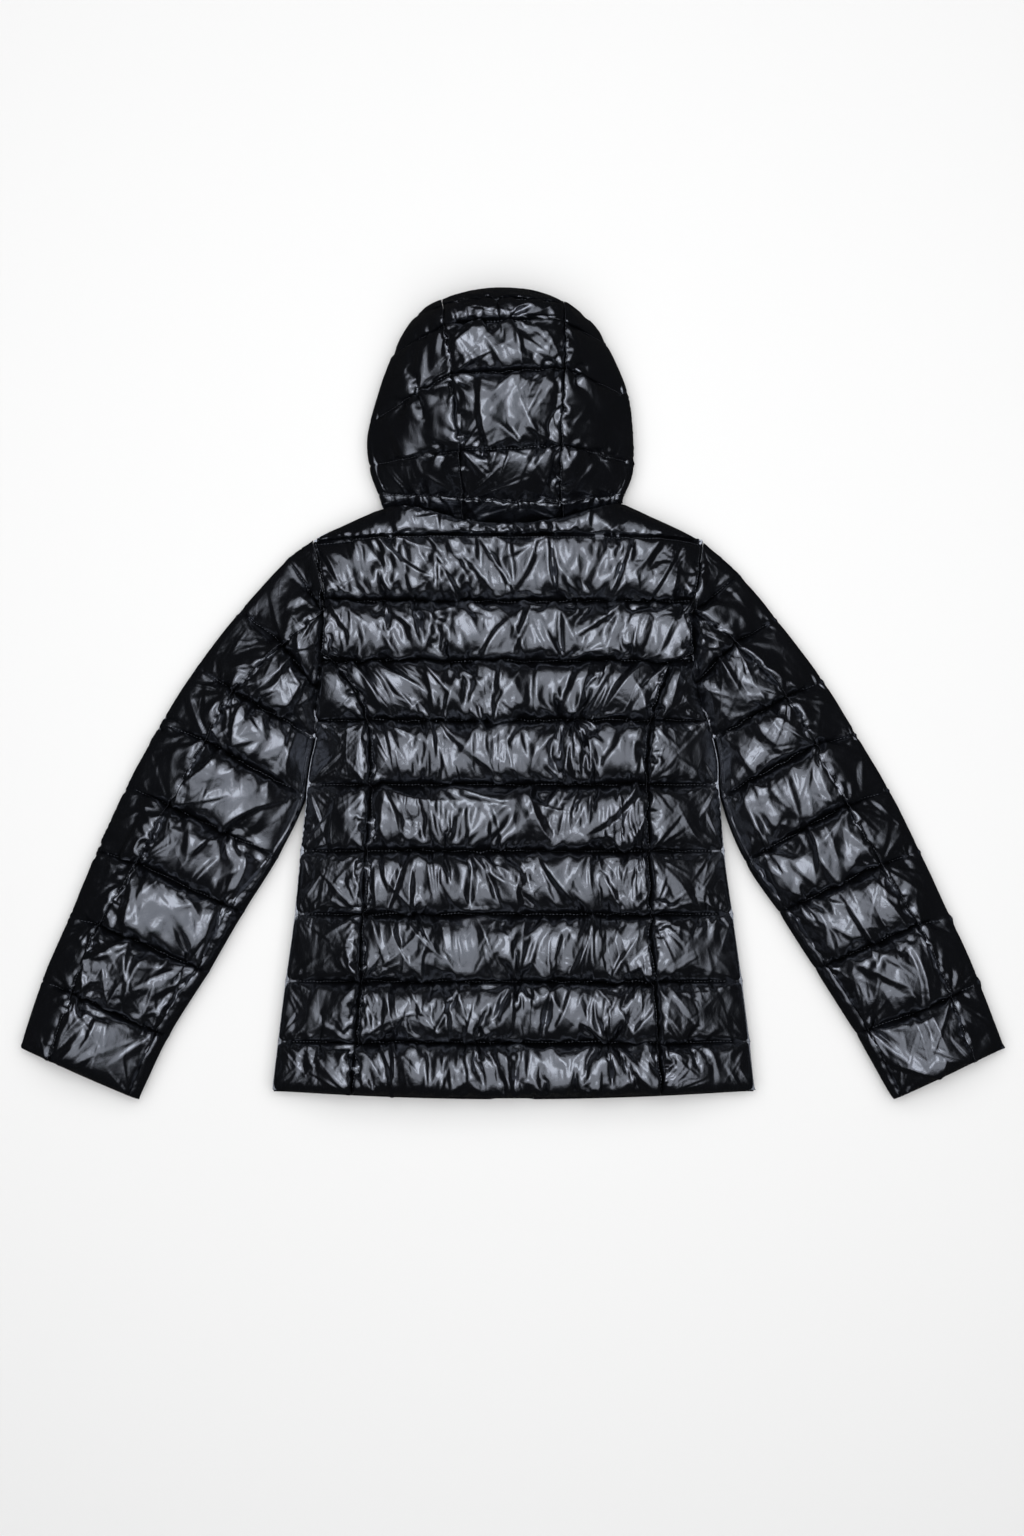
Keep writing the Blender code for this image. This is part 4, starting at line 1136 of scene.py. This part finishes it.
def fronts():
    """The two fronts and the placket between them, lying underneath."""
    rows = channel_rows(0, len(QUILTING_Y), PLAIN)
    shoulder_steps = np.linspace(0, 1, PLAIN + 1)[::-1][:-1]
    for side, word in ((-1, "left"), (1, "right")):
        plan = body_rows(
            rows,
            FRONT_HEM,
            lambda y: body_edge(y, side) - side * FRONT_SET_IN,
            lambda y: side * (PLACKET_HALF + SEAM_GAP),
            eased(FRONT_STEPS, True, False),
        )
        x = plan[0, :, 0]
        top = np.maximum(shoulder_line(x) - CURVED_SEAM_GAP, plan[0, :, 1] + LEAST_YOKE)
        above = np.array([np.stack([x, across(plan[0, :, 1], top, s)], -1) for s in shoulder_steps])
        rest = lower(np.concatenate([above, plan]), np.concatenate([shoulder_steps, rows % 1])[:, None])
        rest[..., 2] = np.maximum(rest[..., 2], 0)
        piece = flat_backed(f"front_{word}_shell", rest, LAYER_LEVEL - LAYER_GAP, HEM_TUCK)
        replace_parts(piece, f"front_{word}")
    x = np.linspace(-PLACKET_HALF, PLACKET_HALF, PLACKET_STEPS + 1)
    top, hem = shoulder_line(x) - CURVED_SEAM_GAP, hem_y(x, FRONT_HEM)
    shares = np.linspace(0, 1, PLACKET_ROWS + 1)
    plan = np.array([np.stack([x, across(top, hem, s)], -1) for s in shares])
    edge = PLACKET_EDGE * np.clip((np.abs(x) - PLACKET_HALF + PLACKET_ROUND) / PLACKET_ROUND, 0, 1) ** 2
    piece = flat_backed("front_placket_shell", standing(plan, edge), LAYER_LEVEL - LAYER_GAP, HEM_TUCK)
    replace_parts(piece, "front_placket")


def lines_between(a, b, shares):
    """Plan points on the straight line from a to b, in each row."""
    return across(a[:, None], b[:, None], np.atleast_2d(shares)[..., None])


def upturned_edge(rows, outer, seam, inner, width):
    """Where the top sleeve, turned up over the inner edge, ends."""
    across_sleeve = np.where((rows <= UNDERARM_ROW)[:, None], outer, seam) - inner
    return inner + across_sleeve / np.linalg.norm(across_sleeve, axis=-1, keepdims=True) * width[:, None]


def top_sleeve(side, name):
    """The top sleeve, folded round the outer edge, and turned up over the inner edge below the underarm."""
    rows = channel_rows(SHOULDER_ROW, CUFF_ROW, FINE)
    rows[0] = FIRST_SLEEVE_ROW
    outer, seam, inner, lip = sleeve_curves(side, rows)
    joined = upturned_edge(rows, outer, seam, inner, lip)
    seam = seam + side * np.array([SEAM_GAP, 0])
    step = (rows % 1)[:, None]
    at_armhole = (rows <= UNDERARM_ROW)[:, None]

    top_shares = eased(TOP_STEPS, False, True, FOLDED_EASE)
    on_top = lines_between(seam, outer, top_shares)
    top = lowered(upper(on_top, step), 1 - SLEEVE_FALL * top_shares, 0.0)
    top[..., 2] -= turned_under(on_top, JACKET_OUTLINE) * (rows > FOLDED_FROM_ROW)[:, None]

    below_arm = np.clip((rows - SEAM_ROW) / (UNDERARM_ROW - SEAM_ROW), 0, 1)[:, None]
    bend = across(across(outer, inner, 0.4), seam, below_arm)
    to_bend = lines_between(outer, bend, eased(FOLDED_STEPS, True, False))
    to_inner = lines_between(bend, inner, eased(FOLDED_STEPS, False, True))
    bottom = lower(np.concatenate([to_bend, to_inner[:, 1:]], 1), step)

    up_shares = np.linspace(0, 1, UPTURN_STEPS + 1)
    up_shares = np.where(at_armhole, np.append(np.zeros(UPTURN_STEPS), 1), up_shares)
    upturn = upper(lines_between(inner, joined, up_shares), step)
    up_the_wall = across(bottom[:, -1:, 2], LAYER_LEVEL, np.linspace(0, 1.2, UPTURN_STEPS + 1).clip(0, 1))
    upturned = upturn[..., 2] - UPTURN_TURN * turned_under(upturn[..., :2], JACKET_OUTLINE)
    upturn[..., 2] = np.where(at_armhole, up_the_wall, upturned)
    edge_level = LAYER_LEVEL - UPTURN_TURN * TURN_UNDER
    bottom[:, -1, 2] = np.where(at_armhole[:, 0], bottom[:, -1, 2], edge_level)

    outside = np.concatenate([top, bottom[:, 1:], upturn[:, 1:]], 1)
    column = np.arange(outside.shape[1])[None]
    beneath = (column >= TOP_STEPS + CREASED_ROUND) & (column <= TOP_STEPS + 2 * FOLDED_STEPS)
    resting = beneath | at_armhole & (column > TOP_STEPS + CREASED_AT_ARMHOLE)
    kinds = {"gather": 0.4, "pleats": 0.5, "corners": 4, "corner_size": 1.2, "calm_width": 40}
    panel = creased(outside, rows, still=resting, seed=130 + side, floor=0.0, **kinds)
    width = np.linalg.norm(seam - outer, axis=-1, keepdims=True)
    hollow = across(outer, seam, np.minimum(SLEEVE_FOLD / width, 0.5))
    slit = [(seam, LAYER_GAP), (hollow, LAYER_GAP), (hollow, -LAYER_GAP), (joined, -LAYER_GAP)]
    slit = np.stack([level(points, offset) for points, offset in slit], 1)
    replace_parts(wall(f"{name}_shell", panel, slit), name)
    stitches(f"{name}_stitches", quilted_lines(panel, rows, TOP_SEWN, (1,)))


def under_sleeve(side, name):
    """The under sleeve, which shows between the back seam and the upturned edge of the top sleeve."""
    rows = channel_rows(SEAM_ROW, CUFF_ROW, FINE)
    rows[0] += FIRST_SLEEVE_ROW
    outer, seam, inner, lip = sleeve_curves(side, rows)
    inward = np.where(rows < UNDERARM_ROW, 0, lip + 2 * SEAM_GAP)
    joined = upturned_edge(rows, outer, seam, inner, inward)
    shares = eased(UNDER_STEPS, how_much=UNDER_EASE)
    plan = lines_between(seam - side * np.array([SEAM_GAP, 0]), joined, shares)
    rest = lowered(upper(plan, (rows % 1)[:, None]), sunk_at_armhole(plan, rows, -1))
    panel = creased(rest, rows, seed=145 + side, gather=0.4, pleats=0.6, corners=5, corner_size=1.3)
    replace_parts(flat_backed(f"{name}_shell", panel, LAYER_LEVEL + LAYER_GAP), name)
    stitches(f"{name}_stitches", quilted_lines(panel, rows, UNDER_SEWN))


def sleeves():
    """Both sleeves, each of a top and an under sleeve."""
    for side, word in ((-1, "left"), (1, "right")):
        top_sleeve(side, f"sleeve_top_{word}")
        under_sleeve(side, f"sleeve_under_{word}")


def hood_lines(a, b, shares, rows, bow=0.0):
    """Plan points across a hood panel in each row. The first row follows the neck seam."""
    lines = lines_between(a, b, shares)
    above_neck = shoulder_line(lines[0, :, 0]) + CURVED_SEAM_GAP - lines[0, :, 1]
    lines[..., 1] += np.reshape(bow, (-1, 1)) * 4 * shares * (1 - shares)
    lines[..., 1] += np.clip(1 - rows, 0, 1)[:, None] * above_neck
    return lines


def hood_side(side, name, rows):
    """A side of the hood, folded round the outline to its front edge."""
    outline, seam, front = hood_curves(side, rows)
    seam = seam + side * np.array([SEAM_GAP, 0])
    front = front + side * np.array([SEAM_GAP, 0])
    width = np.linalg.norm(outline - seam, axis=-1, keepdims=True)
    inset = across(outline, seam, np.minimum(HOOD_WALL / width, 0.5))
    top_shares = eased(HOOD_STEPS, False, True, FOLDED_EASE)
    on_top = hood_lines(seam, outline, top_shares, rows)
    beneath = hood_lines(outline, front, eased(HOOD_UNDER_STEPS, True, False), rows)
    ceiling = hood_lines(seam, inset, eased(CEILING_STEPS, False, True), rows)
    floor = hood_lines(inset, front, eased(HOOD_FLOOR_STEPS, True, False), rows)
    row = rows[:, None]
    top = lowered(hood_upper(on_top, row, seam_distance(on_top, 0)), 1 - HOOD_FALL * top_shares, 0.0)
    top[..., 2] -= turned_under(on_top, HOOD_OUTLINE) * (row > FOLDED_FROM_ROW)
    outside = np.concatenate([top, lower(beneath, row % 1, HOOD_OUTLINE)[:, 1:]], 1)
    inside = np.concatenate([hood_ceiling(ceiling, row), level(floor, -LAYER_GAP)], 1)
    resting = np.arange(outside.shape[1])[None] >= HOOD_STEPS + CREASED_ROUND
    kinds = {"gather": 0.4, "pleats": 0.25, "calm_width": 40, "floor": 0.0, "outline": HOOD_OUTLINE}
    panel = creased(outside, rows, still=resting, seed=150 + side, **kinds)
    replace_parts(wall(f"{name}_shell", panel, inside), name)
    stitches(f"{name}_stitches", quilted_lines(panel, rows, HOOD_SEWN, (1,)))


def centre_lines(column, rows, shares):
    """Plan points across the hood's centre panel, between its two seams or its two lower edges."""
    gap = SEAM_GAP + CROWN_CORNER_GAP * np.clip(rows - CROWN_ROW + 1, 0, 1)
    if column == FRONT_EDGE:
        gap += FRONT_EDGE_GAP
    gap = np.stack([gap, gap * 0], -1)
    left, right = (hood_curves(side, rows)[column] - side * gap for side in (-1, 1))
    bow = through([(bow,) for bow in CENTRE_BOW], None, 0, rows)
    if column == FRONT_EDGE:
        bow = np.interp(rows, [FOREHEAD_ROW, CROWN_ROW], [0, CENTRE_BOW[-1]])
    return hood_lines(left, right, shares, rows, bow)


def hood_centre(rows):
    """The centre panel, from the neck over the crown and under it to the forehead."""
    shares = np.linspace(0, 1, HOOD_CENTRE_STEPS + 1)
    under_rows = np.linspace(CROWN_ROW, FOREHEAD_ROW, HOOD_UNDER_ROWS + 1)
    on_top = centre_lines(CENTRE_SEAM, rows, shares)
    beneath = centre_lines(FRONT_EDGE, under_rows, shares)
    inner_end = CROWN_ROW - CROWN_FOLD
    top_rows = np.linspace(rows[0], CROWN_ROW, CEILING_ROWS + 1)
    inner_rows = np.interp(top_rows, [0, FOREHEAD_ROW, CROWN_ROW], [0, FOREHEAD_ROW, inner_end])
    ceiling = centre_lines(CENTRE_SEAM, inner_rows, shares)
    floor = centre_lines(FRONT_EDGE, np.minimum(under_rows, inner_end), shares)
    top = hood_upper(on_top, rows[:, None], seam_distance(on_top, 0, -1))
    under = lower(beneath, (under_rows % 1)[:, None], HOOD_OUTLINE)
    outside = np.concatenate([top, under[1:]])
    inside = np.concatenate([hood_ceiling(ceiling, inner_rows[:, None]), level(floor, -LAYER_GAP)])
    all_rows = np.concatenate([rows, 2 * CROWN_ROW - under_rows[1:]])
    resting = (all_rows > CROWN_ROW + CREASED_CROWN)[:, None]
    kinds = {"gather": 0.5, "pleats": 0.5, "corners": 5, "corner_size": 1.6}
    kinds |= {"floor": 0.0, "outline": HOOD_OUTLINE}
    panel = creased(outside, all_rows, still=resting, seed=160, **kinds)
    # Rows run along the panel here, so the wall is made of its columns.
    piece = wall("hood_centre_shell", panel.transpose(1, 0, 2), inside.transpose(1, 0, 2))
    stitches("hood_centre_stitches", quilted_lines(panel[: len(rows)], rows))
    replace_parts(piece, "hood_centre")


def hood():
    """The two sides of the hood and its centre panel."""
    rows = channel_rows(NECK_ROW, CROWN_ROW, FINE)
    side_rows = rows[rows <= LAST_SIDE_ROW]
    side_rows = side_rows[: len(side_rows) - (len(side_rows) - 1) % COARSEST]
    hood_side(-1, "hood_side_left", side_rows)
    hood_side(1, "hood_side_right", side_rows)
    hood_centre(rows)


# Studio. Sizes are in metres here.

FLOOR_HALF, FLOOR_COLOUR = 4, (0.7, 0.7, 0.7, 1)
LIGHTS = (("softbox", 1.2, 5.2), ("scrim", 4.1, 1.8), ("ceiling", 6.4, 0.5))  # name, width, radiance
LIGHT_Y, LIGHT_HEIGHT = 0.25, 2.6
CAMERA_X, CAMERA_Y, CAMERA_HEIGHT = -0.0005, -0.0774, 3.02
SENSOR, FRAMED_FROM, FRAMED_HEIGHT = 36, 3.0, 1.628


def studio():
    """A white floor, soft lights overhead and the camera straight above."""
    scene = bpy.context.scene
    mesh = bpy.data.meshes.new("floor")
    corners = [(x * FLOOR_HALF, y * FLOOR_HALF, 0) for x, y in ((-1, -1), (1, -1), (1, 1), (-1, 1))]
    mesh.from_pydata(corners, [], [(0, 1, 2, 3)])
    floor = bpy.data.objects.new("floor", mesh)
    scene.collection.objects.link(floor)
    floor.visible_glossy = False
    paper = bpy.data.materials.new("white_paper")
    paper.use_nodes = True
    shader = paper.node_tree.nodes["Principled BSDF"]
    shader.inputs["Base Color"].default_value = FLOOR_COLOUR
    shader.inputs["Roughness"].default_value = 0.9
    mesh.materials.append(paper)

    scene.view_settings.view_transform = "Standard"
    world = bpy.data.worlds.new("studio")
    world.use_nodes = True
    background = world.node_tree.nodes["Background"]
    background.inputs["Color"].default_value = (1, 1, 1, 1)
    background.inputs["Strength"].default_value = 0.02
    scene.world = world

    for name, width, radiance in LIGHTS:
        light = bpy.data.lights.new(name, "AREA")
        light.shape = "SQUARE"
        light.size = width
        light.energy = radiance * math.pi * width**2
        lamp = bpy.data.objects.new(name, light)
        lamp.location = (0, LIGHT_Y, LIGHT_HEIGHT + 0.02 * width)
        scene.collection.objects.link(lamp)
        lamp.visible_camera = False

    lens = bpy.data.cameras.new("camera")
    lens.sensor_fit = "VERTICAL"
    lens.sensor_height = SENSOR
    lens.lens = SENSOR * FRAMED_FROM / FRAMED_HEIGHT
    camera = bpy.data.objects.new("camera", lens)
    camera.location = (CAMERA_X, CAMERA_Y, CAMERA_HEIGHT)
    scene.collection.objects.link(camera)
    scene.camera = camera


back_panels()
yoke()
fronts()
sleeves()
hood()
studio()
